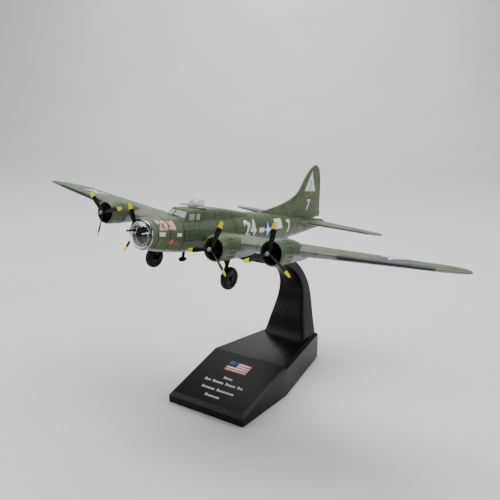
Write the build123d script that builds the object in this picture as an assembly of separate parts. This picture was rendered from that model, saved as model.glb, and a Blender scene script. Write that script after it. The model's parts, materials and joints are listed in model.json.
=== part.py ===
from build123d import *
import os
from math import cos, pi, radians, sin, sqrt, tan

# Desk display model of a four-engine propeller bomber, nose up and banked on a curved black stand.
# Row frame, millimetres: origin at the centre of the stand's underside, +Z up, nose towards -Y, port wing +X.
# Aircraft frame, before it is placed on the stand: nose tip at y = 0, tail aft along +y, +x port, +z up
# from the fuselage centreline. placed() carries a shape from the aircraft frame to the row frame.

# ---------------------------------------------------------------- fits shared by every piece
SEAT = 0.05            # gap between pieces that are glued or screwed together but have curved faces
RUNNING = 0.06         # radial clearance of a turning shaft in its hole
SIDE_PLAY = 0.15       # end float of a turning piece
SHOW_GAP = 0.3         # gap between faces that move past each other

# ---------------------------------------------------------------- attitude on the stand
PITCH = 7.16           # nose up, degrees
BANK = 4.21            # port wing down, degrees
NOSE_Y = -86.34        # row y of the aircraft frame's origin
CENTRE_Z = 91.37       # row z of the aircraft frame's origin

# ---------------------------------------------------------------- fuselage
WALL = 1.2             # casting wall
INLAY = 0.4            # depth of a window pane let into the skin
GROOVE_DEPTH = 0.14    # engraved panel line
GROOVE_WIDTH = 0.3
NOSE_RING_Y = 8.2      # where the nose glazing meets the skin
TAIL_Y = 156.0         # aft face of the tail cone
# station y, centre height, half width, half height
HULL = [
    (8.2, 0.55, 5.30, 5.35),
    (13.0, 0.40, 6.25, 6.30),
    (20.0, 0.25, 7.10, 7.10),
    (32.0, 0.10, 7.75, 7.75),
    (50.0, 0.00, 8.00, 7.95),
    (78.0, 0.00, 7.85, 7.90),
    (98.0, -0.15, 6.60, 7.00),
    (118.0, -0.45, 4.95, 5.75),
    (136.0, -0.10, 3.30, 4.00),
    (148.0, 0.15, 2.45, 2.80),
    (156.0, 0.20, 2.00, 2.10),
]
# raised deck from the cockpit to the radio room: station y, centre height, half width, half height, corner
DECK = [
    (20.5, 3.2, 4.70, 7.25, 2.2),
    (30.0, 3.2, 4.80, 7.40, 2.2),
    (45.0, 3.2, 4.85, 7.35, 2.4),
    (59.0, 3.0, 4.75, 6.70, 3.0),
    (73.0, 2.4, 4.60, 5.65, 3.4),
    (88.0, 1.6, 4.25, 5.15, 3.4),
]
WINDSCREEN_Y = 24.2    # foot of the windscreen's centre post
WINDSCREEN_Z = 8.1
WINDSCREEN_RAKE = 55.0 # from the horizontal, degrees
WINDSCREEN_SWEEP = 32.0  # each pane's turn from square to the nose, degrees
PANEL_RINGS = (10.4, 16.2, 24.0, 45.5, 58.0, 77.0, 95.0, 103.5, 119.0, 131.0, 146.0)
PANEL_HEIGHTS = (-1.6, 2.2)   # long seams on the fuselage sides, from y 24 to 77

# ---------------------------------------------------------------- wing and nacelles
SEMI_SPAN = 109.9
ROOT_CHORD = 40.2      # at x = 0
TIP_CHORD = 17.4       # at the semi span, before the tip is rounded
WING_LE_Y = 35.5       # leading edge at x = 0
WING_SWEEP = 7.7       # leading edge, degrees
DIHEDRAL = 4.5
INCIDENCE = 2.0
WING_ROOT_Z = -2.4     # chord plane at x = 0
ROOT_THICKNESS = 0.17  # share of the chord
TIP_THICKNESS = 0.11
TIP_ROUND_X = 98.0     # outboard of this the planform is rounded
TIP_ANCHOR = 0.06      # share of the chord the rounded tip draws in from the front
EDGE = 0.25            # thickness of a trailing edge
ENGINES = {            # number: (x, propeller plane y, thrust line z)
    1: (44.0, 28.4, 1.1),
    2: (19.9, 25.5, -2.1),
    3: (-19.9, 25.5, -2.1),
    4: (-44.0, 28.4, 1.1),
}
COWL_RADIUS = 5.15
COWL_OPENING = 4.35    # radius of the mouth
COWL_LENGTH = 8.6
COWL_WALL = 0.55
COWL_SETBACK = 1.1     # cowl lip behind the propeller plane
# nacelle rings: distance behind the cowl, radius, drop from the thrust line
NACELLE = [
    (0.0, 4.85, 0.0),
    (5.0, 4.70, -0.15),
    (10.0, 4.00, -0.8),
    (15.0, 3.00, -1.7),
    (20.0, 1.80, -2.3),
    (24.0, 0.90, -2.4),
]
FLAP_SLOTS = 18        # slits between the cooling flaps round the back of a cowl
FLAP_LENGTH = 4.6
FLAP_SLIT = 0.28
FLAP_DEPTH = 0.3

# ---------------------------------------------------------------- engines and propellers
PROP_RADIUS = 12.0
PROP_HUB_RADIUS = 0.95
PROP_HUB_LENGTH = 2.3
BLADE_WIDTH = 2.05
BLADE_THICKNESS = 0.42
BLADE_PITCH = 22.0     # at the tip, degrees from the propeller plane
BLADE_TWIST = 24.0     # more pitch at the root
SHAFT_RADIUS = 0.55
SHAFT_HEAD_RADIUS = 0.85
SHAFT_HEAD_LENGTH = 0.5
PROP_ANGLES = {1: 3.2, 2: 16.8, 3: -28.9, 4: -49.3}   # first blade from upright, towards port, degrees
CRANKCASE_RADIUS = 1.75
CYLINDERS = 9
CYLINDER_RADIUS = 0.72
ENGINE_PLATE = 0.8

# ---------------------------------------------------------------- undercarriage
WHEEL_X = 20.6
WHEEL_Y = 39.0
WHEEL_Z = -15.0
WHEEL_RADIUS = 4.7
WHEEL_WIDTH = 3.1
WHEEL_HUB_RADIUS = 2.1
AXLE_RADIUS = 0.6
LEG_RADIUS = 0.75
TAIL_WHEEL_Y = 118.0
TAIL_WHEEL_Z = -9.3
TAIL_WHEEL_RADIUS = 2.1
TAIL_WHEEL_WIDTH = 1.3
TAIL_AXLE_RADIUS = 0.4

# ---------------------------------------------------------------- tail
TAILPLANE_SPAN = 45.6  # half
TAILPLANE_Y = 122.0    # leading edge at x = 0
TAILPLANE_Z = 2.3
TAILPLANE_CHORD = 24.0
TAILPLANE_TIP_CHORD = 10.5
TAILPLANE_SWEEP = 11.5
# fin outline, height: (leading edge y, trailing edge y)
FIN = [
    (4.0, 76.0, 151.6),
    (7.6, 86.0, 150.9),
    (9.0, 94.5, 150.6),
    (10.4, 102.0, 150.3),
    (12.0, 109.0, 149.9),
    (14.0, 115.2, 149.5),
    (16.2, 119.8, 149.0),
    (18.6, 123.0, 148.4),
    (21.4, 125.2, 147.7),
    (24.3, 127.0, 146.9),
    (27.2, 129.3, 145.8),
    (29.6, 131.6, 144.6),
    (31.2, 133.8, 143.3),
    (32.3, 136.2, 141.6),
    (32.8, 138.0, 140.1),
]
FIN_THICKNESS = 2.2    # at the foot
FIN_TIP_THICKNESS = 0.7

# ---------------------------------------------------------------- turrets, glazing and guns
TURRET_Y = 38.6
TURRET_SEAT_Z = 10.05  # flat cut in the deck under the ring
TURRET_RING_RADIUS = 3.65
TURRET_RING_TOP = 10.85
TURRET_SPINDLE_RADIUS = 1.6
TURRET_FLOOR_Z = 8.6   # underside of the plate that carries the top turret
DOME_RADIUS = 3.5
DOME_HEIGHT = 3.7
DOME_WALL = 0.5
GUN_RADIUS = 0.36
TURRET_GUN_REACH = 8.6
BALL_Y = 89.5
BALL_Z = -8.4
BALL_RADIUS = 3.5
NOSE_WALL = 0.7
NOSE_LENGTH = 4.9      # from the ring to the tip of the glazing
NOSE_BALL = (0.0, 3.85, 2.6)  # centre of the nose gun's ball
NOSE_RIM = 0.35        # how far the glazing's rim stands over the skin
SPIGOT_RADIUS = 1.2    # of the tail cap
ANTENNA_Y = 33.5

# ---------------------------------------------------------------- stand
BASE_FRONT_Y = -43.2
BASE_FOLD_Y = -7.0
BASE_REAR_Y = 43.2
BASE_FRONT_HALF = 21.5
BASE_FOLD_HALF = 22.2
BASE_REAR_HALF = 13.0
BASE_LIP = 3.9
BASE_HEIGHT = 15.2
BASE_BEVEL = 1.4
BASE_WALL = 2.0
PAD_THICKNESS = 0.8
COVER_THICKNESS = 1.6
COVER_GAP = 0.15
ARM_FOOT_FRONT = 26.7
ARM_FOOT_REAR = 40.6
ARM_WALL = 1.6
# arm sections from foot to tip: front edge (y, z), rear edge (y, z), half width
ARM = [
    ((26.7, 15.2), (40.6, 15.2), 12.6),
    ((30.2, 25.5), (42.3, 25.5), 10.2),
    ((33.4, 35.0), (43.2, 36.0), 8.3),
    ((34.2, 42.0), (41.6, 43.6), 7.4),
    ((32.4, 47.6), (37.8, 50.2), 6.8),
    ((27.6, 52.9), (31.2, 57.0), 6.1),
    ((20.0, 57.4), (22.2, 62.0), 5.7),
    ((10.5, 60.8), (11.9, 65.2), 5.4),
    ((1.0, 62.9), (2.3, 67.0), 5.2),
    ((-7.0, 65.3), (-5.4, 69.2), 5.0),
    ((-12.3, 67.6), (-11.3, 70.3), 4.6),
]
ARM_CORNER = 1.1       # rounding of the arm's long edges
ARM_SOLID_FOOT = 21.0  # height where the hollow starts
PEG_Y = 79.0           # in the aircraft frame
PEG_RADIUS = 1.5
PEG_TOP = -3.4         # in the aircraft frame
PEG_FOOT = -15.2
SOCKET_CLEARANCE = 0.06
SOCKET_HALF = 4.0
LIFT = 12.0            # travel that takes the belly socket clear of the peg


# ================================================================ helpers
def at_y(y, x=0.0, z=0.0):
    """Sketch plane square to the fuselage at station y; its normal points aft."""
    return Plane(origin=(x, y, z), x_dir=(1, 0, 0), z_dir=(0, 1, 0))


def placed(shape):
    """Carries a shape from the aircraft frame to its attitude on the stand."""
    return Pos(0, NOSE_Y, CENTRE_Z) * Rot(-PITCH, 0, 0) * Rot(0, BANK, 0) * shape


def rod(start, end, radius):
    """Round bar from start to end."""
    path = Vector(*end) - Vector(*start)
    plane = Plane(origin=start, z_dir=path)
    return extrude(plane * Circle(radius), path.length)


def aft_cylinder(x, y, z, radius, length):
    """Cylinder along +y whose front face is at y."""
    return extrude(at_y(y, x, z) * Circle(radius), length)


def block(x0, x1, y0, y1, z0, z1):
    """Box from its limits on each axis."""
    return Pos((x0 + x1) / 2, (y0 + y1) / 2, (z0 + z1) / 2) * Box(x1 - x0, y1 - y0, z1 - z0)


def oval_loft(stations, inset=0.0):
    """Skin through oval stations, drawn in by inset all round."""
    faces = [at_y(y, 0, z) * Ellipse(a - inset, b - inset) for y, z, a, b in stations]
    return loft(faces)


def airfoil_face(origin, chord, share, spin=0.0, upright=False):
    """Closed symmetric airfoil outline with a blunt trailing edge.

    origin is the leading edge, the chord runs aft, and share is the thickness over the chord.
    An upright section lies flat for a fin; the others stand square to the span.
    """
    stops = [0.0, 0.012, 0.05, 0.12, 0.22, 0.35, 0.5, 0.68, 0.85, 1.0]

    def half(t):
        shape = 0.2969 * sqrt(t) - 0.1260 * t - 0.3516 * t**2 + 0.2843 * t**3 - 0.1036 * t**4
        return 5 * share * chord * shape + EDGE / 2 * t

    across = Plane(origin=origin, x_dir=(0, cos(radians(spin)), -sin(radians(spin))),
                   z_dir=(0, 0, 1) if upright else (1, 0, 0))
    upper = [(t * chord, half(t)) for t in stops]
    lower = [(x, -y) for x, y in upper]
    outline = Spline(upper) + Spline(lower) + Line(upper[-1], lower[-1])
    return across * make_face(outline)


def mirrored(shape):
    """The starboard copy of a port shape."""
    return mirror(shape, about=Plane.YZ)


parts = {}


def keep(name, shape):
    """Files a finished piece under its node name."""
    parts[name] = shape


# ================================================================ fuselage
def windscreen_cutters():
    """Two large blocks whose undersides are the two raked windscreen panes."""
    cutters = []
    for side in (1, -1):
        tilt = Pos(0, WINDSCREEN_Y, WINDSCREEN_Z) * Rot(0, 0, side * WINDSCREEN_SWEEP)
        tilt = tilt * Rot(WINDSCREEN_RAKE, 0, 0)
        cutters.append(tilt * Pos(0, 0, 15) * Box(60, 60, 30))
    return cutters


def deck_form(stations, inset):
    """Raised deck with rounded corners and the windscreen cut across its front, drawn in by inset."""
    faces = [at_y(y, 0, z) * RectangleRounded(2 * (a - inset), 2 * (b - inset), corner - inset)
             for y, z, a, b, corner in stations]
    deck = loft(faces)
    for cutter in windscreen_cutters():
        deck = deck - Pos(0, inset, -inset) * cutter
    return deck


def fuselage_skin(inset=0.0):
    """Whole outer form, hull and raised deck, drawn in by inset."""
    return oval_loft(HULL, inset) + deck_form(DECK, inset)


def ring_grooves():
    """Thin slabs that mark the panel seams round and along the fuselage."""
    cuts = [block(-14, 14, y, y + GROOVE_WIDTH, -14, 14) for y in PANEL_RINGS]
    for z in PANEL_HEIGHTS:
        cuts.append(block(-14, 14, PANEL_RINGS[2], PANEL_RINGS[5], z, z + GROOVE_WIDTH))
    return cuts


def window_prisms():
    """Blocks that mark out each pane, by node, in the aircraft frame."""
    sides = {"cockpit_windows": [], "nose_windows": [], "waist_windows": [], "radio_windows": []}
    for s in (1, -1):
        lo, hi = (2.6, 12) if s > 0 else (-12, -2.6)
        sides["cockpit_windows"] += [block(lo, hi, 28.4, 32.2, 6.1, 9.2), block(lo, hi, 32.8, 35.7, 6.1, 9.0)]
        pane = [(s * 0.35, 20, 8.15), (s * 0.35, 20, 9.95), (s * 3.9, 20, 9.5), (s * 4.3, 20, 7.35)]
        front = make_face(Polyline(*pane, close=True))
        sides["cockpit_windows"].append(extrude(front, 10, dir=(0, 1, 0)))
        sides["nose_windows"] += [block(lo, hi, 11.2, 14.0, 0.9, 2.4), block(lo, hi, 20.0, 22.4, 0.6, 1.9)]
        sides["waist_windows"].append(block(lo, hi, 93.2, 100.8, 0.4, 5.0))
        sides["radio_windows"].append(block(lo, hi, 67.5, 70.0, 2.6, 4.6))
    return sides


def build_hull():
    """The hollow fuselage casting before it is split, and its windows, in the aircraft frame."""
    outer = fuselage_skin()
    inlay = fuselage_skin(INLAY)
    body = (outer - ring_grooves()) + fuselage_skin(GROOVE_DEPTH)
    cuts = []
    windows = {}
    for node, prisms in window_prisms().items():
        found = []
        for prism in prisms:
            found += ((prism & outer) - inlay).solids()
        windows[node] = Compound(found)
        cuts += found
    cavity = oval_loft(HULL[:7], WALL) + deck_form(DECK[:5], WALL)
    inner = [
        block(-6, 6, PEG_Y - 5.2, PEG_Y + 5.2, -6.9, -1.4),
        block(-6.5, 6.5, BALL_Y - 5.6, BALL_Y + 5.6, BALL_TOP, BALL_TOP + 2.0),
        block(-5, 5, TURRET_Y - 5, TURRET_Y + 5, TURRET_FLOOR_Z, 10.0),
        block(-5.5, 5.5, ANTENNA_Y - 2, ANTENNA_Y + 2, -7.2, -5.0),
    ]
    flat = block_cylinder(0, TURRET_Y, TURRET_SEAT_Z, 16, TURRET_RING_RADIUS + 0.35)
    body = body - (cavity - inner) - flat
    return body - cuts, windows


BALL_TOP = -4.5        # underside of the bulkhead that carries the ball turret
SPINDLE_FLANGE = 0.6   # thickness of the flange that keeps a turret in
TONGUE_Z = (-3.7, -1.5)
TONGUE_Y = (44.0, 66.0)
TONGUE_END = 10.0


def turret_holes():
    """Bores and clearances for the two turning turrets."""
    top_bore = Pos(0, TURRET_Y, 9) * Cylinder(TURRET_SPINDLE_RADIUS + RUNNING, 8)
    top_room = block_cylinder(0, TURRET_Y, TURRET_FLOOR_Z - 2, TURRET_FLOOR_Z, TURRET_SPINDLE_RADIUS + 1.1)
    ball_room = Pos(0, BALL_Y, BALL_TOP - 5) * Cylinder(BALL_RADIUS + 0.4, 10)
    ball_bore = Pos(0, BALL_Y, BALL_TOP) * Cylinder(1.2 + RUNNING, 8)
    return [top_bore, top_room, ball_room, ball_bore]


def split_hull(body, fin_part, tail_part):
    """Port and starboard halves with every slot and bore cut."""
    slots = [
        block(-20, 20, TONGUE_Y[0] - SEAT, TONGUE_Y[1] + SEAT, TONGUE_Z[0] - SEAT, TONGUE_Z[1] + SEAT),
        block(-SOCKET_HALF - SEAT, SOCKET_HALF + SEAT, PEG_Y - SOCKET_HALF - SEAT,
              PEG_Y + SOCKET_HALF + SEAT, -6.4, -2.0),
        Pos(0, PEG_Y, -7) * Cylinder(PEG_RADIUS + SHOW_GAP, 6),
        Pos(0, ANTENNA_Y, -7) * Cylinder(0.6 + SEAT, 2.4),
        block(-0.55, 0.55, 126.0 - SEAT, 146.0 + SEAT, FIN_TENON_FOOT - SEAT, 8),
        block(0.8, 8, 127.0 - SEAT, 141.0 + SEAT, TAIL_TENON[0] - SEAT, TAIL_TENON[1] + SEAT),
        block(-8, -0.8, 127.0 - SEAT, 141.0 + SEAT, TAIL_TENON[0] - SEAT, TAIL_TENON[1] + SEAT),
        Pos(0, TAIL_WHEEL_Y, -6) * Cylinder(0.7 + SEAT, 4),
        aft_cylinder(0, TAIL_Y - 1.5, 0.2, SPIGOT_RADIUS + SEAT, 4),
    ]
    body = body - slots - turret_holes()
    port = body & block(0, 20, 0, 170, -20, 40)
    starboard = body & block(-20, 0, 0, 170, -20, 40)
    return port, starboard


def belly_socket():
    """Square insert that slips over the stand's peg."""
    shape = Pos(0, PEG_Y, -4.35) * Box(2 * SOCKET_HALF, 2 * SOCKET_HALF, 3.9)
    bore_top = PEG_TOP + 0.05
    return shape - block_cylinder(0, PEG_Y, -8, bore_top, PEG_RADIUS + SOCKET_CLEARANCE)


def block_cylinder(x, y, z0, z1, radius):
    """Upright cylinder from z0 to z1."""
    return Pos(x, y, (z0 + z1) / 2) * Cylinder(radius, z1 - z0)


FIN_TENON_FOOT = 3.5
TAIL_TENON = (1.7, 2.9)


# ================================================================ wings, tailplane and fin
def wing_le(x):
    return WING_LE_Y + x * tan(radians(WING_SWEEP))


def wing_z(x):
    return WING_ROOT_Z + x * tan(radians(DIHEDRAL))


def wing_chord(x):
    return ROOT_CHORD + (TIP_CHORD - ROOT_CHORD) * x / SEMI_SPAN


def wing_form(inset=0.0):
    """Port wing from the centreline to the rounded tip, drawn in by inset."""
    def section(x, le, chord):
        share = ROOT_THICKNESS + (TIP_THICKNESS - ROOT_THICKNESS) * x / SEMI_SPAN
        share = share - 2 * inset / chord
        return airfoil_face((x, le + inset, wing_z(x)), chord - 2 * inset, share, INCIDENCE)

    if inset:
        return loft([section(x, wing_le(x), wing_chord(x)) for x in (0.0, TIP_ROUND_X)])
    faces = [section(x, wing_le(x), wing_chord(x)) for x in (0.0, 16.0, 32.0, 48.0, 64.0, 80.0, 92.0)]
    for share in (0.0, 0.28, 0.52, 0.72, 0.87, 0.96, 0.995):
        x = TIP_ROUND_X + share * (SEMI_SPAN - TIP_ROUND_X)
        width = sqrt(1 - share**2)
        le = wing_le(x) + (1 - width) * TIP_ANCHOR * wing_chord(x)
        faces.append(section(x, le, width * wing_chord(x)))
    return loft(faces)


def wing_seams():
    """Thin slabs for the hinge line and the chordwise panel seams."""
    hinge = []
    for x in (7.0, 98.5):
        y = wing_le(x) + 0.75 * wing_chord(x)
        hinge.append((x, y))
    strip = [hinge[0], hinge[1], (hinge[1][0], hinge[1][1] + GROOVE_WIDTH), (hinge[0][0], hinge[0][1] + GROOVE_WIDTH)]
    cuts = [Pos(0, 0, -15) * extrude(make_face(Polyline(*strip, close=True)), 30)]
    for x in (13.0, 31.0, 55.0, 63.0, 80.5):
        cuts.append(block(x, x + GROOVE_WIDTH, 30, 80, -15, 20))
    return cuts


def nacelle(number):
    """Nacelle behind one port engine, from its spigot to its tail."""
    x, y, z = ENGINES[number]
    back = y + COWL_SETBACK + COWL_LENGTH
    shape = loft([at_y(back + dy, x, z + dz) * Circle(r) for dy, r, dz in NACELLE])
    spigot = COWL_RADIUS - COWL_WALL - SEAT
    return shape + aft_cylinder(x, back - 1.5, z, spigot, 2.0)


def nacelle_bores(number):
    """Room for the tail of the propeller shaft inside the nacelle."""
    x, y, z = ENGINES[number]
    back = y + COWL_SETBACK + COWL_LENGTH
    return aft_cylinder(x, back - 2.0, z, SHAFT_HEAD_RADIUS + 0.4, 3.0)


def build_wing(hull_fit):
    """Port wing with both nacelles and its root tongue."""
    shape = (wing_form() - wing_seams()) + wing_form(GROOVE_DEPTH)
    shape = shape - hull_fit
    shape = shape + nacelle(1) + nacelle(2)
    shape = shape + block(0.03, TONGUE_END, TONGUE_Y[0], TONGUE_Y[1], TONGUE_Z[0], TONGUE_Z[1])
    bores = [nacelle_bores(1), nacelle_bores(2)] + [rod(a, b, LEG_RADIUS + SEAT) for a, b in LEGS]
    return shape - bores


def tailplane(hull_fit):
    """Port tailplane with its root tongue."""
    def section(x, share):
        chord = TAILPLANE_CHORD + (TAILPLANE_TIP_CHORD - TAILPLANE_CHORD) * x / TAILPLANE_SPAN
        le = TAILPLANE_Y + x * tan(radians(TAILPLANE_SWEEP))
        anchor = le + 0.4 * chord
        return airfoil_face((x, anchor - share * 0.4 * chord, TAILPLANE_Z), share * chord, 0.10)

    round_x = TAILPLANE_SPAN - 6.5
    faces = [section(0.0, 1.0)]
    faces += [section(round_x + s * 6.5, sqrt(1 - s * s)) for s in (0.0, 0.3, 0.5, 0.68, 0.82, 0.92, 0.98)]
    shape = loft(faces, ruled=True) - hull_fit
    tongue = block(0.85, 5.0, 127.0, 141.0, TAIL_TENON[0], TAIL_TENON[1])
    return shape + tongue


def fin(hull_fit):
    """Fin, rudder and dorsal fillet with the tenon that stands in the fuselage."""
    low, high = FIN[0][0], FIN[-1][0]
    sections = []
    for z, le, te in FIN:
        thick = FIN_THICKNESS + (FIN_TIP_THICKNESS - FIN_THICKNESS) * (z - low) / (high - low)
        sections.append(airfoil_face((0, le, z), te - le, thick / (te - le), upright=True))
    shape = loft(sections) - hull_fit
    parts_of_it = sorted(shape.solids(), key=lambda s: s.volume)
    return parts_of_it[-1] + block(-0.5, 0.5, 126.0, 146.0, FIN_TENON_FOOT, 6.5)


# ================================================================ engines, cowls and propellers
def cowling(number):
    """Ring cowl with a rounded lip and a skirt of cooling flaps."""
    x, y, z = ENGINES[number]
    front = y + COWL_SETBACK
    r_out, r_in = COWL_RADIUS, COWL_RADIUS - COWL_WALL
    outer = [(COWL_OPENING, 0.55), (COWL_OPENING + 0.28, 0.0), (r_out - 0.12, 0.75), (r_out, 1.8), (r_out, COWL_LENGTH)]
    path = Spline(outer[:4]) + Polyline(outer[3], outer[4], (r_in, COWL_LENGTH), (r_in, 1.3), outer[0])
    ring = revolve(make_face(path), Axis.Y, 360)
    slits = []
    for i in range(FLAP_SLOTS):
        slit = Pos(0, COWL_LENGTH - FLAP_LENGTH / 2 + 0.05, r_out) * Box(FLAP_SLIT, FLAP_LENGTH + 0.1, 2 * FLAP_DEPTH)
        slits.append(Rot(0, 360 * i / FLAP_SLOTS, 0) * slit)
    return Pos(x, front, z) * (ring - slits)


def engine(number):
    """Radial engine: back plate, crankcase and a ring of finned cylinders, bored for the shaft."""
    x, y, z = ENGINES[number]
    back = y + COWL_SETBACK + COWL_LENGTH - 1.5
    front = y + 1.75
    shape = aft_cylinder(0, back - ENGINE_PLATE, 0, COWL_RADIUS - COWL_WALL - 0.35, ENGINE_PLATE)
    case = back - ENGINE_PLATE - front
    shape = shape + aft_cylinder(0, front, 0, 1.0, case) + aft_cylinder(0, front + 1.1, 0, CRANKCASE_RADIUS, case - 1.1)
    middle = front + 3.3
    barrels = []
    for i in range(CYLINDERS):
        turn = Rot(0, 360 * i / CYLINDERS, 0)
        barrel = Pos(0, middle, 2.55) * Cylinder(CYLINDER_RADIUS - 0.12, 2.7)
        for k in range(4):
            barrel = barrel + Pos(0, middle, 1.95 + 0.55 * k) * Cylinder(CYLINDER_RADIUS, 0.24)
        barrels.append(turn * barrel)
    shape = shape + barrels
    shape = shape - aft_cylinder(0, 0, 0, SHAFT_RADIUS + RUNNING, 60)
    return Pos(x, 0, z) * shape


def blade():
    """One twisted blade standing up from the hub."""
    table = [(0.5, 1.0, 0.75), (1.6, 1.15, 0.7), (3.4, 1.75, 0.55), (6.5, BLADE_WIDTH, BLADE_THICKNESS),
             (9.4, 1.95, 0.34), (11.2, 1.45, 0.27), (11.85, 0.8, 0.22), (PROP_RADIUS, 0.35, 0.16)]
    faces = []
    for r, width, thick in table:
        turn = radians(BLADE_PITCH + BLADE_TWIST * (1 - r / PROP_RADIUS)**1.5)
        across = Plane(origin=(0, 0, r), x_dir=(cos(turn), sin(turn), 0), z_dir=(0, 0, 1))
        faces.append(across * Ellipse(width / 2, thick / 2))
    return loft(faces)


def propeller(number):
    """Three blades on a boss, bored for the hub."""
    x, y, z = ENGINES[number]
    boss = aft_cylinder(0, -0.85, 0, 1.15, 1.7)
    shape = boss
    for i in range(3):
        shape = shape + Rot(0, PROP_ANGLES[number] + 120 * i, 0) * blade()
    shape = shape - aft_cylinder(0, -2, 0, SHAFT_RADIUS + 0.02, 6)
    return Pos(x, y, z) * shape


def propeller_hub(number):
    """Hub dome in front of the blades and the shaft that runs back through the engine."""
    x, y, z = ENGINES[number]
    dome = make_face(Polyline((0, -2.35), (0.3, -2.3), (0.62, -2.05), (0.8, -1.6), (0.85, -0.87), (0, -0.87), close=True))
    end = COWL_SETBACK + COWL_LENGTH - 1.5
    shape = revolve(dome, Axis.Y, 360) + aft_cylinder(0, -1.2, 0, SHAFT_RADIUS, end + 1.2 + 0.4)
    shape = shape + aft_cylinder(0, end + SIDE_PLAY, 0, SHAFT_HEAD_RADIUS, SHAFT_HEAD_LENGTH)
    return Pos(x, y, z) * shape


# ================================================================ undercarriage
LEG_X = WHEEL_X - 2.9
LEGS = [
    ((LEG_X, 42.5, -3.2), (LEG_X, WHEEL_Y, WHEEL_Z)),
    ((LEG_X, 36.4, -5.2), (LEG_X, WHEEL_Y + 1.3, WHEEL_Z + 4.6)),
]


def main_gear():
    """Port leg: oleo, drag strut, boss and the axle that carries the wheel."""
    shape = rod(LEGS[0][0], LEGS[0][1], LEG_RADIUS) + rod(LEGS[1][0], LEGS[1][1], LEG_RADIUS * 0.8)
    boss = rod((LEG_X - 0.8, WHEEL_Y, WHEEL_Z), (LEG_X + 1.0, WHEEL_Y, WHEEL_Z), 1.15)
    axle = rod((LEG_X, WHEEL_Y, WHEEL_Z), (WHEEL_X + WHEEL_WIDTH / 2 + 0.1, WHEEL_Y, WHEEL_Z), AXLE_RADIUS)
    head_x = WHEEL_X + WHEEL_WIDTH / 2 - 0.1
    head = rod((head_x, WHEEL_Y, WHEEL_Z), (head_x + 0.4, WHEEL_Y, WHEEL_Z), 0.95)
    return shape + boss + axle + head


def main_hub():
    """Wheel disc with its bore."""
    half = WHEEL_WIDTH / 2 - 0.4
    disc = rod((WHEEL_X - half, WHEEL_Y, WHEEL_Z), (WHEEL_X + half, WHEEL_Y, WHEEL_Z), WHEEL_HUB_RADIUS)
    bore = rod((WHEEL_X - 3, WHEEL_Y, WHEEL_Z), (WHEEL_X + 3, WHEEL_Y, WHEEL_Z), AXLE_RADIUS + RUNNING)
    dish = rod((WHEEL_X + half - 0.35, WHEEL_Y, WHEEL_Z), (WHEEL_X + half + 1, WHEEL_Y, WHEEL_Z), 1.6)
    boss = rod((WHEEL_X, WHEEL_Y, WHEEL_Z), (WHEEL_X + half, WHEEL_Y, WHEEL_Z), 0.95)
    return disc - dish + boss - bore


def tyre(x, y, z, radius, width, bore):
    """Rounded tyre round an axle along x."""
    half = width / 2
    profile = Plane.XY * Pos(0, (radius + bore) / 2) * RectangleRounded(width, radius - bore, half * 0.72)
    inner = Plane.XY * Pos(0, bore + (radius - bore) / 4) * Rectangle(width * 0.72, (radius - bore) / 2)
    ring = revolve(profile + inner, Axis.X, 360)
    return Pos(x, y, z) * ring


def tail_gear():
    """Tail wheel leg with its fork on one side and an axle."""
    side = -TAIL_WHEEL_WIDTH / 2 - 0.55
    post = block_cylinder(0, TAIL_WHEEL_Y, TAIL_WHEEL_Z + TAIL_WHEEL_RADIUS + 0.4, -4.2, 0.7)
    top = TAIL_WHEEL_Z + TAIL_WHEEL_RADIUS + 0.4
    bridge = block(side - 0.35, 0.7, TAIL_WHEEL_Y - 0.7, TAIL_WHEEL_Y + 0.7, top - 0.1, top + 0.45)
    leg = block(side - 0.35, side + 0.35, TAIL_WHEEL_Y - 0.6, TAIL_WHEEL_Y + 0.6, TAIL_WHEEL_Z - 0.7, top + 0.3)
    half = TAIL_WHEEL_WIDTH / 2
    axle = rod((side, TAIL_WHEEL_Y, TAIL_WHEEL_Z), (half + 0.3, TAIL_WHEEL_Y, TAIL_WHEEL_Z), TAIL_AXLE_RADIUS)
    head = rod((half + 0.15, TAIL_WHEEL_Y, TAIL_WHEEL_Z), (half + 0.45, TAIL_WHEEL_Y, TAIL_WHEEL_Z), 0.7)
    return post + bridge + leg + axle + head


# ================================================================ turrets, glazing, guns and aerial
def shell_dome(radius, straight, height, wall):
    """Round dome on a short straight skirt, standing on z = 0."""
    def solid(r, h):
        rise = h - straight
        arc = [(r * cos(radians(a)), straight + rise * sin(radians(a))) for a in (0, 15, 30, 45, 60, 75, 90)]
        outline = Polyline((0, 0), (r, 0), arc[0]) + Spline(arc) + Line(arc[-1], (0, 0))
        return revolve(Plane.XZ * make_face(outline), Axis.Z, 360)

    return solid(radius, height) - solid(radius - wall, height - wall)


def top_turret_ring():
    """Turning ring, spindle and keeper flange of the top turret."""
    ring = block_cylinder(0, TURRET_Y, TURRET_SEAT_Z + SHOW_GAP, TURRET_RING_TOP, TURRET_RING_RADIUS)
    foot = TURRET_FLOOR_Z - SHOW_GAP - SPINDLE_FLANGE
    spindle = block_cylinder(0, TURRET_Y, foot, TURRET_RING_TOP - 0.1, TURRET_SPINDLE_RADIUS)
    flange = block_cylinder(0, TURRET_Y, foot, foot + SPINDLE_FLANGE, TURRET_SPINDLE_RADIUS + 0.7)
    return ring + spindle + flange


TURRET_GUNS = [(-1.45, 11.95), (1.45, 11.95)]


def top_turret_guns():
    """Twin barrels on a cradle that stands on the ring."""
    shape = block(-1.9, 1.9, TURRET_Y - 2.0, TURRET_Y + 1.5, TURRET_RING_TOP, TURRET_RING_TOP + 1.2)
    for x, z in TURRET_GUNS:
        shape = shape + aft_cylinder(x, TURRET_Y - TURRET_GUN_REACH, z, GUN_RADIUS, TURRET_GUN_REACH)
    return shape


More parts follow.
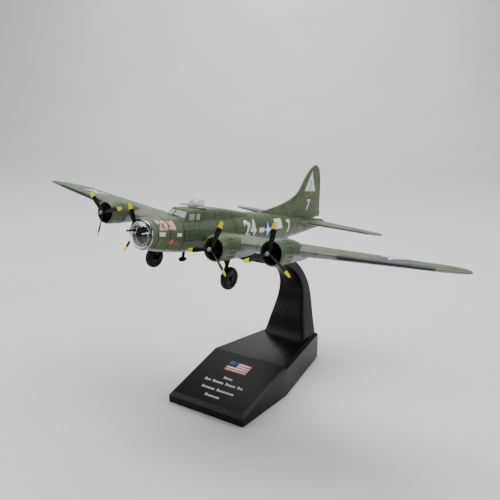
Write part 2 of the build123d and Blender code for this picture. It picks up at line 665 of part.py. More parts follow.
def top_turret_dome():
    """Clear dome over the guns, slotted for the barrels."""
    dome = Pos(0, TURRET_Y, TURRET_RING_TOP) * shell_dome(DOME_RADIUS, 0.9, DOME_HEIGHT, DOME_WALL)
    slots = []
    for x, z in TURRET_GUNS:
        slots.append(aft_cylinder(x, TURRET_Y - 8, z, GUN_RADIUS + 0.1, 7))
    return dome - slots


def ball_turret():
    """Belly ball with its spindle, keeper flange and two barrels' holes."""
    ball = Pos(0, BALL_Y, BALL_Z) * Sphere(BALL_RADIUS)
    spindle = block_cylinder(0, BALL_Y, BALL_Z, BALL_TOP + 2.9, 1.2)
    flange = block_cylinder(0, BALL_Y, BALL_TOP + 2.3, BALL_TOP + 2.9, 1.9)
    holes = [aft_cylinder(x, BALL_Y + 1.0, BALL_Z - 0.6, 0.3 + SEAT, 6) for x in (-1.3, 1.3)]
    return ball + spindle + flange - holes


def ball_turret_guns():
    """Two barrels that point aft from the ball."""
    return Compound([aft_cylinder(x, BALL_Y + 1.1, BALL_Z - 0.6, 0.3, 6.2) for x in (-1.3, 1.3)])


def nose_glazing():
    """Clear nose cap with a raised rim and a spigot that centres it in the fuselage."""
    z = HULL[0][1]
    wall = Pos(0, NOSE_RING_Y, z) * Rot(90, 0, 0) * shell_dome(5.25, 0.9, NOSE_LENGTH, NOSE_WALL)
    rim = aft_cylinder(0, NOSE_RING_Y - 0.8, z, 5.3 + NOSE_RIM, 0.8)
    spigot = aft_cylinder(0, NOSE_RING_Y - 0.8, z, 4.0, 2.0)
    shape = wall + rim + spigot - aft_cylinder(0, NOSE_RING_Y - 0.9, z, 3.4, 4)
    return shape - [Pos(*NOSE_BALL) * Sphere(0.8 + SEAT)]


def nose_gun():
    """Barrel with the ball that sits in the nose glazing and the receiver behind it."""
    x, y, z = NOSE_BALL
    receiver = block(-0.55, 0.55, y + 1.4, y + 5.6, z - 0.5, z + 0.6)
    return aft_cylinder(x, -0.3, z, GUN_RADIUS, y + 2.0) + Pos(x, y, z) * Sphere(0.8) + receiver


def nose_bulkhead():
    """Dark bulkhead that closes the fuselage behind the nose glazing."""
    return at_bulkhead(11.6)


def at_bulkhead(y):
    """Oval plate that fits the cavity at station y."""
    form = oval_loft(HULL[:7], WALL + SEAT)
    return form & block(-9, 9, y, y + 1.2, -9, 9)


def tail_glazing():
    """Small clear cap over the tail gun position, with its spigot, bored for the guns' block."""
    spigot = SPIGOT_RADIUS
    outline = [(0.75, -1.4), (spigot, -1.4), (spigot, 0), (1.95, 0), (1.9, 0.8), (1.6, 1.45), (1.1, 1.85), (0.75, 1.95)]
    return Pos(0, TAIL_Y, 0.2) * revolve(make_face(Polyline(*outline, close=True)), Axis.Y, 360)


def tail_guns():
    """Twin barrels on the round block held in the tail cap's bore."""
    shape = aft_cylinder(0, TAIL_Y - 1.2, 0.2, 0.75 - SEAT, 2.9)
    for x in (-0.38, 0.38):
        shape = shape + aft_cylinder(x, TAIL_Y + 1.2, 0.2, 0.22, 2.6)
    return shape


def direction_finder():
    """Teardrop aerial on a short mast under the fuselage."""
    mast = block_cylinder(0, ANTENNA_Y, -10.6, -6.1, 0.6)
    profile = [(0.3, -2.3), (0.72, -1.9), (1.0, -1.1), (1.05, -0.2), (0.85, 0.9), (0.55, 1.8), (0.3, 2.4)]
    ends = Polyline(profile[-1], (0, 2.4), (0, -2.3), profile[0])
    body = revolve(make_face(Spline(profile) + ends), Axis.Y, 360)
    return mast + Pos(0, ANTENNA_Y, -11.0) * body


# ================================================================ stand (row frame)
def base_prism(inset, low, high, bevel=0.0):
    """Tapered plan of the base between two heights, sloped down towards the front."""
    plan = [(-BASE_FRONT_HALF + inset, BASE_FRONT_Y + inset), (BASE_FRONT_HALF - inset, BASE_FRONT_Y + inset),
            (BASE_FOLD_HALF - inset, BASE_FOLD_Y), (BASE_REAR_HALF - inset, BASE_REAR_Y - inset),
            (-BASE_REAR_HALF + inset, BASE_REAR_Y - inset), (-BASE_FOLD_HALF + inset, BASE_FOLD_Y)]
    return Pos(0, 0, low) * extrude(make_face(Polyline(*plan, close=True)), high - low)


def base_side(drop):
    """Side outline of the base, drawn down by drop, as a prism across the base."""
    outline = [(BASE_FRONT_Y - 1, -1), (BASE_REAR_Y + 1, -1), (BASE_REAR_Y + 1, BASE_HEIGHT - drop),
               (BASE_FOLD_Y, BASE_HEIGHT - drop), (BASE_FRONT_Y, BASE_LIP + BASE_BEVEL - drop),
               (BASE_FRONT_Y - 1, BASE_LIP + BASE_BEVEL - 0.3 - drop)]
    side = Plane.YZ * make_face(Polyline(*outline, close=True))
    return Pos(-30, 0, 0) * extrude(side, 60)


def base_bevels():
    """Half spaces that take the bevel off each top edge of the base."""
    rise = BASE_HEIGHT - BASE_LIP - BASE_BEVEL
    slope = Vector(0, -rise, BASE_FOLD_Y - BASE_FRONT_Y).normalized()
    top, front, rear = Vector(0, 0, 1), Vector(0, -1, 0), Vector(0, 1, 0)
    ridges = [((0, BASE_FRONT_Y, BASE_LIP + BASE_BEVEL), slope + front), ((0, BASE_REAR_Y, BASE_HEIGHT), top + rear)]
    for side in (1, -1):
        flank = Vector(BASE_FOLD_Y - BASE_FRONT_Y, BASE_FRONT_HALF - BASE_FOLD_HALF, 0).normalized()
        back = Vector(BASE_REAR_Y - BASE_FOLD_Y, BASE_FOLD_HALF - BASE_REAR_HALF, 0).normalized()
        flank = Vector(side * flank.X, flank.Y, 0)
        back = Vector(side * back.X, back.Y, 0)
        ridges.append(((side * BASE_FRONT_HALF, BASE_FRONT_Y, BASE_LIP + BASE_BEVEL), slope + flank))
        ridges.append(((side * BASE_FOLD_HALF, BASE_FOLD_Y, BASE_HEIGHT), top + back))
    cuts = []
    for point, normal in ridges:
        normal = normal.normalized()
        plane = Plane(origin=Vector(*point) - normal * BASE_BEVEL / sqrt(2), z_dir=normal)
        cuts.append(extrude(plane * Rectangle(300, 300), 40))
    return cuts


SHELL_FOOT = 0.4       # the pad stands this much below the shell
BOSS_PLACES = [(-15.5, -33.0), (15.5, -33.0), (-10.5, 36.5), (10.5, 36.5)]
ARM_SCREW_Y = 33.6
ARM_SCREW_X = 5.2


def stand_base():
    """Hollow moulded base with bevelled edges, screw bosses and clearance holes for the arm's screws."""
    shape = base_prism(0, SHELL_FOOT, BASE_HEIGHT) & base_side(0)
    shape = shape - base_bevels()
    shape = shape - (base_prism(BASE_WALL, -1, BASE_HEIGHT) & base_side(BASE_WALL))
    shape = shape + [block_cylinder(x, y, PAD_THICKNESS + COVER_THICKNESS, BASE_HEIGHT, 2.4)
                     & base_side(BASE_WALL - 0.5) for x, y in BOSS_PLACES]
    ledge = base_prism(BASE_WALL - 0.6, SHELL_FOOT - 1, PAD_THICKNESS + COVER_THICKNESS)
    shape = shape - ledge
    holes = [block_cylinder(x, y, 0, PAD_THICKNESS + COVER_THICKNESS + 2.0, 0.9 + SEAT) for x, y in BOSS_PLACES]
    holes += [block_cylinder(x, ARM_SCREW_Y, 8, 20, 1.0 + SEAT) for x in (-ARM_SCREW_X, ARM_SCREW_X)]
    return shape - holes


def base_cover():
    """Plate that closes the base from below."""
    inset = BASE_WALL - 0.6 + COVER_GAP
    shape = base_prism(inset, PAD_THICKNESS, PAD_THICKNESS + COVER_THICKNESS)
    holes = [block_cylinder(x, y, 0, 5, 0.9 + SEAT) for x, y in BOSS_PLACES]
    heads = [block_cylinder(x, y, 0, PAD_THICKNESS + 0.9, 1.8 + 0.1) for x, y in BOSS_PLACES]
    return shape - holes - heads


def base_pad():
    """Soft foot sheet stuck to the cover."""
    return base_prism(BASE_WALL + 0.6, 0, PAD_THICKNESS)


def cap_screw(x, y, head_z, shank_top, radius, head_radius, head_height):
    """Screw driven upward: head below, shank above, with a cross recess."""
    shape = block_cylinder(x, y, head_z, head_z + head_height, head_radius)
    shape = shape + block_cylinder(x, y, head_z + head_height - 0.1, shank_top, radius)
    for turn in (0, 90):
        shape = shape - Pos(x, y, head_z) * Rot(0, 0, turn) * Box(head_radius * 1.1, 0.35, 0.8)
    return shape


def arm_form(inset, first=0, last=None):
    """Curved arm through its rounded sections, drawn in by inset."""
    faces = []
    for (y0, z0), (y1, z1), half in ARM[first:last]:
        depth = sqrt((y1 - y0)**2 + (z1 - z0)**2)
        middle = (0, (y0 + y1) / 2, (z0 + z1) / 2)
        normal = (0, -(z1 - z0), y1 - y0)
        plane = Plane(origin=middle, x_dir=(1, 0, 0), z_dir=normal)
        corner = max(0.25, ARM_CORNER - inset)
        faces.append(plane * RectangleRounded(2 * (half - inset), depth - 2 * inset, corner))
    return loft(faces)


def arm_halves():
    """Port and starboard shells of the arm, with the peg's socket and the screw holes."""
    solid = arm_form(0)
    hollow = arm_form(ARM_WALL, 0, 9) - block(-20, 20, 0, 60, 0, ARM_SOLID_FOOT)
    shape = solid - hollow - block(-20, 20, 0, 60, 0, BASE_HEIGHT)
    shape = shape - undo_peg_hole()
    holes = [block_cylinder(x, ARM_SCREW_Y, 10, BASE_HEIGHT + 4.2, 1.0 + SEAT) for x in (-ARM_SCREW_X, ARM_SCREW_X)]
    shape = shape - holes
    return shape & block(0, 20, -20, 60, 10, 80), shape & block(-20, 0, -20, 60, 10, 80)


def undo_peg_hole():
    """The peg's hole in the arm, in the row frame."""
    return placed(block_cylinder(0, PEG_Y, PEG_FOOT - SEAT, PEG_TOP, PEG_RADIUS + SEAT))


def support_peg():
    """Steel peg between the arm and the belly socket, in the aircraft frame."""
    return block_cylinder(0, PEG_Y, PEG_FOOT, PEG_TOP, PEG_RADIUS)


# ================================================================ assembly
hull_body, window_sets = build_hull()
fit = fuselage_skin(-SEAT)
fuselage_left, fuselage_right = split_hull(hull_body, None, None)
fly = {"fuselage_left": fuselage_left, "fuselage_right": fuselage_right, "belly_socket": belly_socket()}
fly.update(window_sets)
fly["wing_left"] = build_wing(fit)
fly["wing_right"] = mirrored(fly["wing_left"])
fly["tailplane_left"] = tailplane(fit)
fly["tailplane_right"] = mirrored(fly["tailplane_left"])
fly["fin"] = fin(fit)
for n in ENGINES:
    fly[f"cowling_{n}"] = cowling(n)
    fly[f"engine_{n}"] = engine(n)
    fly[f"propeller_{n}"] = propeller(n)
    fly[f"propeller_hub_{n}"] = propeller_hub(n)
fly["main_gear_left"] = main_gear()
fly["main_wheel_left"] = main_hub()
fly["main_tyre_left"] = tyre(WHEEL_X, WHEEL_Y, WHEEL_Z, WHEEL_RADIUS, WHEEL_WIDTH, WHEEL_HUB_RADIUS + SEAT)
for piece in ("main_gear", "main_wheel", "main_tyre"):
    fly[f"{piece}_right"] = mirrored(fly[f"{piece}_left"])
fly["tail_gear"] = tail_gear()
fly["tail_wheel"] = tyre(0, TAIL_WHEEL_Y, TAIL_WHEEL_Z, TAIL_WHEEL_RADIUS, TAIL_WHEEL_WIDTH, TAIL_AXLE_RADIUS + RUNNING)
fly["nose_glazing"] = nose_glazing()
fly["nose_gun"] = nose_gun()
fly["nose_bulkhead"] = nose_bulkhead()
fly["tail_glazing"] = tail_glazing()
fly["tail_guns"] = tail_guns()
fly["top_turret_ring"] = top_turret_ring()
fly["top_turret_guns"] = top_turret_guns()
fly["top_turret_dome"] = top_turret_dome()
fly["ball_turret"] = ball_turret()
fly["ball_turret_guns"] = ball_turret_guns()
fly["direction_finder"] = direction_finder()
for name, shape in fly.items():
    keep(name, placed(shape))

keep("support_peg", placed(support_peg()))
arm_left, arm_right = arm_halves()
keep("arm_left", arm_left)
keep("arm_right", arm_right)
keep("stand_base", stand_base())
keep("base_cover", base_cover())
keep("base_pad", base_pad())
keep("base_screws", Compound([cap_screw(x, y, PAD_THICKNESS + 0.05, PAD_THICKNESS + COVER_THICKNESS + 1.8, 0.9, 1.8, 0.85)
                              for x, y in BOSS_PLACES]))
keep("arm_screws", Compound([cap_screw(x, ARM_SCREW_Y, BASE_HEIGHT - BASE_WALL - 1.2, BASE_HEIGHT + 4.0, 1.0, 2.0, 1.2)
                             for x in (-ARM_SCREW_X, ARM_SCREW_X)]))

os.makedirs("parts", exist_ok=True)
for name, shape in parts.items():
    export_step(shape, f"parts/{name}.step")
    print(name, round(shape.volume, 2))
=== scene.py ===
"""Desk-model aeroplane on its curved stand: finishes, markings and fine detail round the CAD frame."""
import json
import logging
import math
from dataclasses import dataclass, field
from enum import Enum
from typing import Iterable, Optional, Sequence, Union

import bmesh
import bpy
from mathutils import Matrix, Vector
from mathutils.bvhtree import BVHTree


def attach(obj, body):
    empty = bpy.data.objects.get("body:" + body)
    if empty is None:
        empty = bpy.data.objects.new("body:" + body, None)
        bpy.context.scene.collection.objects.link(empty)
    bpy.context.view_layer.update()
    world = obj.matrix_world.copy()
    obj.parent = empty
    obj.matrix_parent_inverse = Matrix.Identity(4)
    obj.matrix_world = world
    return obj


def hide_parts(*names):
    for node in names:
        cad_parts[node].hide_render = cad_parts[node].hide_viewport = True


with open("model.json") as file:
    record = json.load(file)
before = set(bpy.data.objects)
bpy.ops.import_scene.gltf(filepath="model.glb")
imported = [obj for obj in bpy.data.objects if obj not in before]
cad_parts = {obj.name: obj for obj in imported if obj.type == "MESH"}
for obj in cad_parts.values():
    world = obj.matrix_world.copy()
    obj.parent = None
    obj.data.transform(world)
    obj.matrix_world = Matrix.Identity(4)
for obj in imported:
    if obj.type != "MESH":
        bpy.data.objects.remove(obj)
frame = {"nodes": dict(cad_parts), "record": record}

log = logging.getLogger("desk_model")

MM = 0.001
WELD = 2e-6            # metres; joins the loose triangles of a CAD mesh
INK_LIFT = 0.035       # mm that a printed marking stands over the paint
INK_FILM = 0.03        # mm thickness of a printed marking
PRESS_REACH = 60       # mm from a marking's anchor to where its press starts
AIRCRAFT = (
    Matrix.Translation((0, -0.08634, 0.09137))
    @ Matrix.Rotation(math.radians(-7.16), 4, "X")
    @ Matrix.Rotation(math.radians(4.21), 4, "Y")
)                      # aircraft axes (nose tip, +x port, +y aft) to the row frame, metres
UP = (AIRCRAFT.to_3x3() @ Vector((0, 0, 1))).normalized()


# ------------------------------------------------------------------ colours and nodes
def rgb(code: str, alpha: float = 1.0) -> tuple[float, float, float, float]:
    """Turns an sRGB hex colour to linear.

    Args:
        code: Six hex digits.
        alpha: Opacity.

    Returns:
        Linear red, green, blue and alpha.
    """
    def linear(part: str) -> float:
        """One channel to linear."""
        value = int(part, 16) / 255
        return value / 12.92 if value <= 0.04045 else ((value + 0.055) / 1.055) ** 2.4

    return (linear(code[0:2]), linear(code[2:4]), linear(code[4:6]), alpha)


def add(tree: bpy.types.NodeTree, kind: str, inputs: Union[dict, Sequence] = (), output: Union[int, str] = 0,
        **settings: object) -> bpy.types.NodeSocket:
    """Adds a node with its settings, constants and links.

    Args:
        tree: Node tree.
        kind: Node type, without the ShaderNode prefix.
        inputs: Constants or other nodes' outputs, in the order of the sockets or keyed by socket.
        output: Name or index of the wanted output.
        settings: Properties of the node.

    Returns:
        The output socket.
    """
    node = tree.nodes.new("ShaderNode" + kind)
    for key, value in settings.items():
        setattr(node, key, value)
    for key, value in inputs.items() if isinstance(inputs, dict) else enumerate(inputs):
        if isinstance(value, bpy.types.NodeSocket):
            tree.links.new(value, node.inputs[key])
        else:
            node.inputs[key].default_value = value
    return node.outputs[output]


class Axes(Enum):
    """Frame that a pattern is drawn in, in millimetres."""

    STAND = "stand"
    AIRCRAFT = "aircraft"


def pattern_space(tree: bpy.types.NodeTree, axes: Axes) -> bpy.types.NodeSocket:
    """Object coordinates in millimetres, turned to the chosen axes.

    Args:
        tree: Node tree.
        axes: Stand or aircraft axes.

    Returns:
        The vector socket.
    """
    place = {"Vector": add(tree, "TexCoord", output="Object"), "Scale": (MM, MM, MM)}
    if axes is Axes.AIRCRAFT:
        place["Location"] = AIRCRAFT.to_translation()
        place["Rotation"] = AIRCRAFT.to_3x3().to_euler("XYZ")
    return add(tree, "Mapping", place, vector_type="TEXTURE")


# ------------------------------------------------------------------ finishes
@dataclass(frozen=True)
class Finish:
    """A plain moulded, cast or painted surface with slight colour drift and a fine bump."""

    name: str
    colour: str
    roughness: float = 0.5
    metallic: float = 0.0
    ior: float = 1.5
    drift: str = ""
    drift_mm: float = 6.0
    polish_mm: float = 4.0
    polish_drift: float = 0.055
    grain_mm: float = 0.35
    grain_depth_mm: float = 0.006
    grain_strength: float = 0.35
    axes: Axes = Axes.AIRCRAFT

    def material(self) -> bpy.types.Material:
        """Makes the material once and returns it after that.

        Returns:
            The material.
        """
        made = bpy.data.materials.get(self.name)
        if made:
            return made
        material = bpy.data.materials.new(self.name)
        material.use_nodes = True
        tree = material.node_tree
        shader = tree.nodes["Principled BSDF"]
        shader.inputs["Metallic"].default_value = self.metallic
        shader.inputs["IOR"].default_value = self.ior
        space = pattern_space(tree, self.axes)
        tree.links.new(self.coat(tree, space), shader.inputs["Base Color"])
        self.surface(tree, space, shader)
        self.extras(shader)
        return material

    def coat(self, tree: bpy.types.NodeTree, space: bpy.types.NodeSocket) -> bpy.types.NodeSocket:
        """Base colour with a soft drift towards the second shade.

        Args:
            tree: Node tree.
            space: Pattern coordinates in millimetres.

        Returns:
            The colour socket.
        """
        cloud = add(tree, "TexNoise", {"Vector": space, "Scale": 1 / self.drift_mm, "Detail": 2.0})
        share = add(tree, "MapRange", (cloud, 0.35, 0.7), interpolation_type="SMOOTHSTEP")
        shades = {0: share, 6: rgb(self.colour), 7: rgb(self.drift or self.colour)}
        return add(tree, "Mix", shades, 2, data_type="RGBA")

    def surface(self, tree: bpy.types.NodeTree, space: bpy.types.NodeSocket, shader: bpy.types.Node) -> None:
        """Roughness drift and the grain of the casting or moulding.

        Args:
            tree: Node tree.
            space: Pattern coordinates in millimetres.
            shader: Surface shader.
        """
        least, most = self.roughness - self.polish_drift, self.roughness + self.polish_drift
        cloud = add(tree, "TexNoise", {"Vector": space, "Scale": 1 / self.polish_mm, "Detail": 2.0})
        polish = add(tree, "MapRange", (cloud, 0.3, 0.7, least, most), interpolation_type="SMOOTHSTEP")
        tree.links.new(polish, shader.inputs["Roughness"])
        grain = add(tree, "TexNoise", {"Vector": space, "Scale": 1 / self.grain_mm, "Detail": 2.0})
        relief = {"Height": grain, "Strength": self.grain_strength, "Distance": self.grain_depth_mm * MM}
        tree.links.new(add(tree, "Bump", relief), shader.inputs["Normal"])

    def extras(self, shader: bpy.types.Node) -> None:
        """Further settings of a special finish."""


class Scheme(Enum):
    """Upward share of the surface's normal below which the grey underside starts."""

    HULL = -0.80
    WING = -0.16
    ALL_OVER = -2.0


@dataclass(frozen=True)
class ServicePaint(Finish):
    """Satin enamel sprayed on a casting: drab green above, grey below, dark ink in the panel seams."""

    under: str = "7c8084"
    seam: str = "20231a"
    worn: str = "8a9273"
    rubber: str = "050505"
    scheme: Scheme = Scheme.HULL
    fade_mm: float = 9.0       # size of the faded blotches
    dust_mm: float = 1.6       # size of the dust specks
    wave_mm: float = 5.0       # length of the waves in the edge between green and grey
    wave: float = 0.16         # height of those waves, as a share of the normal
    edge: float = 0.07         # half the softness of that edge
    climb: float = 0.34        # how far the grey climbs the tail cone
    seam_ink: float = 0.7      # strength of the seam ink
    stations: tuple = ()       # fuselage seams, aircraft y
    ribs: tuple = ()           # wing seams, distance from the centreline
    hinge: tuple = ()          # hinge line: y at the centreline, fall per mm of span
    boot: tuple = ()           # rubber boot: inner and outer distance, y at the centreline, sweep, depth
    tail_rise: tuple = ()      # stretch over which the grey climbs the hull's side, aircraft y

    def weathered(self, tree: bpy.types.NodeTree, space: bpy.types.NodeSocket) -> bpy.types.NodeSocket:
        """Top colour with faded blotches and fine dust.

        Args:
            tree: Node tree.
            space: Pattern coordinates in millimetres.

        Returns:
            The colour socket.
        """
        cloud = add(tree, "TexNoise", {"Vector": space, "Scale": 1 / self.fade_mm, "Detail": 4.0})
        faded = add(tree, "MapRange", (cloud, 0.35, 0.68), interpolation_type="SMOOTHSTEP")
        top = add(tree, "Mix", {0: faded, 6: rgb(self.colour), 7: rgb(self.drift)}, 2, data_type="RGBA")
        specks = add(tree, "TexNoise", {"Vector": space, "Scale": 1 / self.dust_mm, "Detail": 5.0})
        dust = add(tree, "MapRange", (specks, 0.56, 0.8, 0.0, 0.35), interpolation_type="SMOOTHSTEP")
        return add(tree, "Mix", {0: dust, 6: top, 7: rgb(self.worn)}, 2, data_type="RGBA")

    def underside(self, tree: bpy.types.NodeTree, space: bpy.types.NodeSocket,
                  y: bpy.types.NodeSocket) -> bpy.types.NodeSocket:
        """Share of the grey underside, with a wavy edge.

        Args:
            tree: Node tree.
            space: Pattern coordinates in millimetres.
            y: Distance aft of the nose.

        Returns:
            The share socket.
        """
        normal = add(tree, "NewGeometry", output="Normal")
        facing = add(tree, "VectorMath", (normal, UP), "Value", operation="DOT_PRODUCT")
        cloud = add(tree, "TexNoise", {"Vector": space, "Scale": 1 / self.wave_mm, "Detail": 2.0})
        waves = add(tree, "Math", (cloud, self.wave, -self.wave / 2), operation="MULTIPLY_ADD")
        facing = add(tree, "Math", (facing, waves), operation="ADD")
        if self.tail_rise:
            limits = (y, *self.tail_rise, 0.0, self.climb)
            rise = add(tree, "MapRange", limits, interpolation_type="SMOOTHSTEP")
            facing = add(tree, "Math", (facing, rise), operation="SUBTRACT")
        low, high = self.scheme.value - self.edge, self.scheme.value + self.edge
        return add(tree, "MapRange", (facing, low, high, 1.0, 0.0), interpolation_type="SMOOTHSTEP")

    def seams(self, tree: bpy.types.NodeTree, x: bpy.types.NodeSocket,
              y: bpy.types.NodeSocket) -> Optional[bpy.types.NodeSocket]:
        """Share of seam ink.

        Args:
            tree: Node tree.
            x: Distance from the centreline.
            y: Distance aft of the nose.

        Returns:
            The share socket, or None on a piece with no seams.
        """
        lines = [(y, line, 0.17) for line in self.stations] + [(x, line + 0.15, 0.15) for line in self.ribs]
        if self.hinge:
            foot, fall = self.hinge
            lines.append((add(tree, "Math", (x, fall, y), operation="MULTIPLY_ADD"), foot, 0.19))
        total = None
        for line in lines:
            near = add(tree, "Math", line, operation="COMPARE")
            total = add(tree, "Math", (total, near), operation="MAXIMUM") if total else near
        return total and add(tree, "Math", (total, self.seam_ink), operation="MULTIPLY")

    def boots(self, tree: bpy.types.NodeTree, x: bpy.types.NodeSocket,
              y: bpy.types.NodeSocket) -> Optional[bpy.types.NodeSocket]:
        """Share of the rubber boot on the leading edge.

        Args:
            tree: Node tree.
            x: Distance from the centreline.
            y: Distance aft of the nose.

        Returns:
            The share socket, or None on a piece with no boot.
        """
        if not self.boot:
            return None
        inner, outer, foot, sweep, depth = self.boot
        lead = add(tree, "Math", (x, -sweep, y), operation="MULTIPLY_ADD")
        front = add(tree, "Math", (lead, foot + depth), operation="LESS_THAN")
        within = add(tree, "Math", (x, (inner + outer) / 2, (outer - inner) / 2), operation="COMPARE")
        return add(tree, "Math", (front, within), operation="MULTIPLY")

    def coat(self, tree: bpy.types.NodeTree, space: bpy.types.NodeSocket) -> bpy.types.NodeSocket:
        """Two-tone paint with weathering, seams and the leading edge boots.

        Args:
            tree: Node tree.
            space: Pattern coordinates in millimetres.

        Returns:
            The colour socket.
        """
        across = add(tree, "SeparateXYZ", (space,), "X")
        x, y = add(tree, "Math", (across,), operation="ABSOLUTE"), across.node.outputs["Y"]
        paint = self.weathered(tree, space)
        layers = ((self.underside(tree, space, y), self.under), (self.seams(tree, x, y), self.seam),
                  (self.boots(tree, x, y), self.rubber))
        for share, colour in layers:
            if share:
                paint = add(tree, "Mix", {0: share, 6: paint, 7: rgb(colour)}, 2, data_type="RGBA")
        return paint


@dataclass(frozen=True)
class TippedPaint(Finish):
    """Black enamelled blades with a yellow band at the tips, round one hub."""

    hub: tuple = (0.0, 0.0, 0.0)
    tip: str = "efdc12"
    tip_radius: float = 9.3
    tip_edge: float = 0.08

    def coat(self, tree: bpy.types.NodeTree, space: bpy.types.NodeSocket) -> bpy.types.NodeSocket:
        """Black blades, yellow beyond the tip radius.

        Args:
            tree: Node tree.
            space: Pattern coordinates in millimetres.

        Returns:
            The colour socket.
        """
        base = super().coat(tree, space)
        away = add(tree, "VectorMath", (space, self.hub), "Value", operation="DISTANCE")
        edges = (away, self.tip_radius - self.tip_edge, self.tip_radius + self.tip_edge)
        band = add(tree, "MapRange", edges, interpolation_type="SMOOTHSTEP")
        return add(tree, "Mix", {0: band, 6: base, 7: rgb(self.tip)}, 2, data_type="RGBA")


@dataclass(frozen=True)
class ClearMoulding(Finish):
    """Injection-moulded clear styrene, lightly polished."""

    clearness: float = 0.9

    def extras(self, shader: bpy.types.Node) -> None:
        """Lets light through."""
        shader.inputs["Transmission Weight"].default_value = self.clearness


@dataclass(frozen=True)
class Lacquered(Finish):
    """A finish under a thin glossy clear coat."""

    coat_weight: float = 0.35
    coat_roughness: float = 0.12

    def extras(self, shader: bpy.types.Node) -> None:
        """Adds the clear coat."""
        shader.inputs["Coat Weight"].default_value = self.coat_weight
        shader.inputs["Coat Roughness"].default_value = self.coat_roughness


@dataclass(frozen=True)
class CabinPane(Lacquered):
    """Tinted side panes, with a painted reflection in pale colour on the raked front panes."""

    # pale colour of the raked front panes: a painted reflection of the lights
    front: str = "c9cbd6"
    post_y: float = 28.2
    post_edge: float = 0.1

    def coat(self, tree: bpy.types.NodeTree, space: bpy.types.NodeSocket) -> bpy.types.NodeSocket:
        """Painted reflection in pale colour ahead of the corner post, grey behind it.

        Args:
            tree: Node tree.
            space: Pattern coordinates in millimetres.

        Returns:
            The colour socket.
        """
        aft = add(tree, "SeparateXYZ", (space,), "Y")
        edges = (aft, self.post_y - self.post_edge, self.post_y + self.post_edge)
        behind = add(tree, "MapRange", edges, interpolation_type="SMOOTHSTEP")
        # painted reflection on the front panes
        shades = {0: behind, 6: rgb(self.front), 7: super().coat(tree, space)}
        return add(tree, "Mix", shades, 2, data_type="RGBA")


# satin enamel on a zinc casting: soft broad highlights, faded blotches and dark ink in the seams
DRAB, DRAB_LIGHT = "404c33", "4d5a40"
HULL_STATIONS = (10.4, 16.2, 24.0, 45.5, 58.0, 77.0, 95.0, 103.5, 119.0, 131.0, 146.0)
HULL_PAINT = ServicePaint("satin_drab_hull", DRAB, 0.5, drift=DRAB_LIGHT, scheme=Scheme.HULL,
                          stations=tuple(line + 0.15 for line in HULL_STATIONS), tail_rise=(96.0, 124.0))
WING_PAINT = ServicePaint("satin_drab_wing", DRAB, 0.5, drift=DRAB_LIGHT, scheme=Scheme.WING,
                          ribs=(13.0, 31.0, 55.0, 63.0, 80.5), hinge=(65.8, 0.0204),
                          boot=(63.5, 98.5, 35.5, 0.1352, 1.25))
TAIL_PAINT = ServicePaint("satin_drab_tail", DRAB, 0.5, drift=DRAB_LIGHT, scheme=Scheme.WING,
                          hinge=(137.6, -0.03), boot=(8.0, 40.0, 122.0, 0.2035, 0.9))
COWL_PAINT = ServicePaint("satin_drab_cowl", DRAB, 0.46, drift=DRAB_LIGHT, scheme=Scheme.ALL_OVER)
FIN_PAINT = ServicePaint("satin_drab_fin", DRAB, 0.5, drift=DRAB_LIGHT, scheme=Scheme.ALL_OVER)
# black enamel, rubber and the moulded stand: a low IOR keeps them dark under soft lights
BLACK_ENAMEL = Finish("black_enamel", "08090a", 0.4, ior=1.22, drift="0e0e0f")
GUN_ENAMEL = Finish("gun_black_enamel", "0a0a0b", 0.42, ior=1.22, drift="121213")
PALE_METAL = Finish("pale_gun_metal", "c9ccc2", 0.38, metallic=0.3, drift="b4b7ab")
# chrome for the nose's side frame members, and a painted highlight as a bead round the clear nose's rim
CHROME_FRAME_AND_RIM_HIGHLIGHT = Finish("chrome_frame_and_rim_highlight", "d8dadb", 0.16, metallic=1.0, drift="c6c8ca", grain_depth_mm=0.001)
HUB_GREY = Finish("cast_hub_grey", "6e7073", 0.36, metallic=0.6, drift="808285")
ENGINE_CAST = Finish("engine_casting", "0a0a0b", 0.55, metallic=0.1, ior=1.22, drift="151516")
TYRE_RUBBER = Finish("tyre_rubber", "0b0b0c", 0.45, ior=1.25, drift="131314", grain_depth_mm=0.01)
WHEEL_BLACK = Finish("wheel_enamel", "0a0a0c", 0.34, ior=1.25, drift="141517")
PANE_WHITE = Lacquered("white_pane", "dfe2e2", 0.22, drift="cfd4d8", drift_mm=2.5)
# grey side panes; the raked front panes carry a painted reflection
CABIN_PANES = CabinPane("cabin_panes", "848b86", 0.2, metallic=0.3, drift="99a09c", drift_mm=2.5)
# clear styrene shows its frames and the bulkhead through sharp highlights; the dome is slightly milky
CLEAR = ClearMoulding("clear_styrene", "ffffff", 0.03, ior=1.46, drift="f6f8f8", grain_depth_mm=0.0005,
                      polish_drift=0.02, clearness=1.0)
DOME_CLEAR = ClearMoulding("dome_styrene", "ffffff", 0.06, ior=1.5, drift="f6f8f8", grain_depth_mm=0.0005,
                           polish_drift=0.02, clearness=0.78)
CABIN_GREEN = Finish("cabin_green", "53623a", 0.5, drift="617045", drift_mm=3.0)
STAND_BLACK = Finish("stand_moulded_black", "060608", 0.3, ior=1.25, drift="0a0a0b", drift_mm=20.0,
                     grain_mm=0.5, grain_depth_mm=0.002, polish_drift=0.015, axes=Axes.STAND)
COVER_BLACK = Finish("cover_moulded_black", "151515", 0.6, drift="1b1b1b", axes=Axes.STAND)
PAD_FOAM = Finish("foot_foam", "1d1d1e", 0.85, drift="262627", grain_depth_mm=0.05, axes=Axes.STAND)
SCREW_ZINC = Finish("zinc_plate", "9a9b98", 0.35, metallic=1.0, drift="85868a", axes=Axes.STAND)
PEG_STEEL = Finish("blackened_steel", "2a2b2d", 0.35, metallic=0.8, drift="353638")
SOCKET_BLACK = Finish("socket_black", "1a1a1a", 0.6, drift="222222")
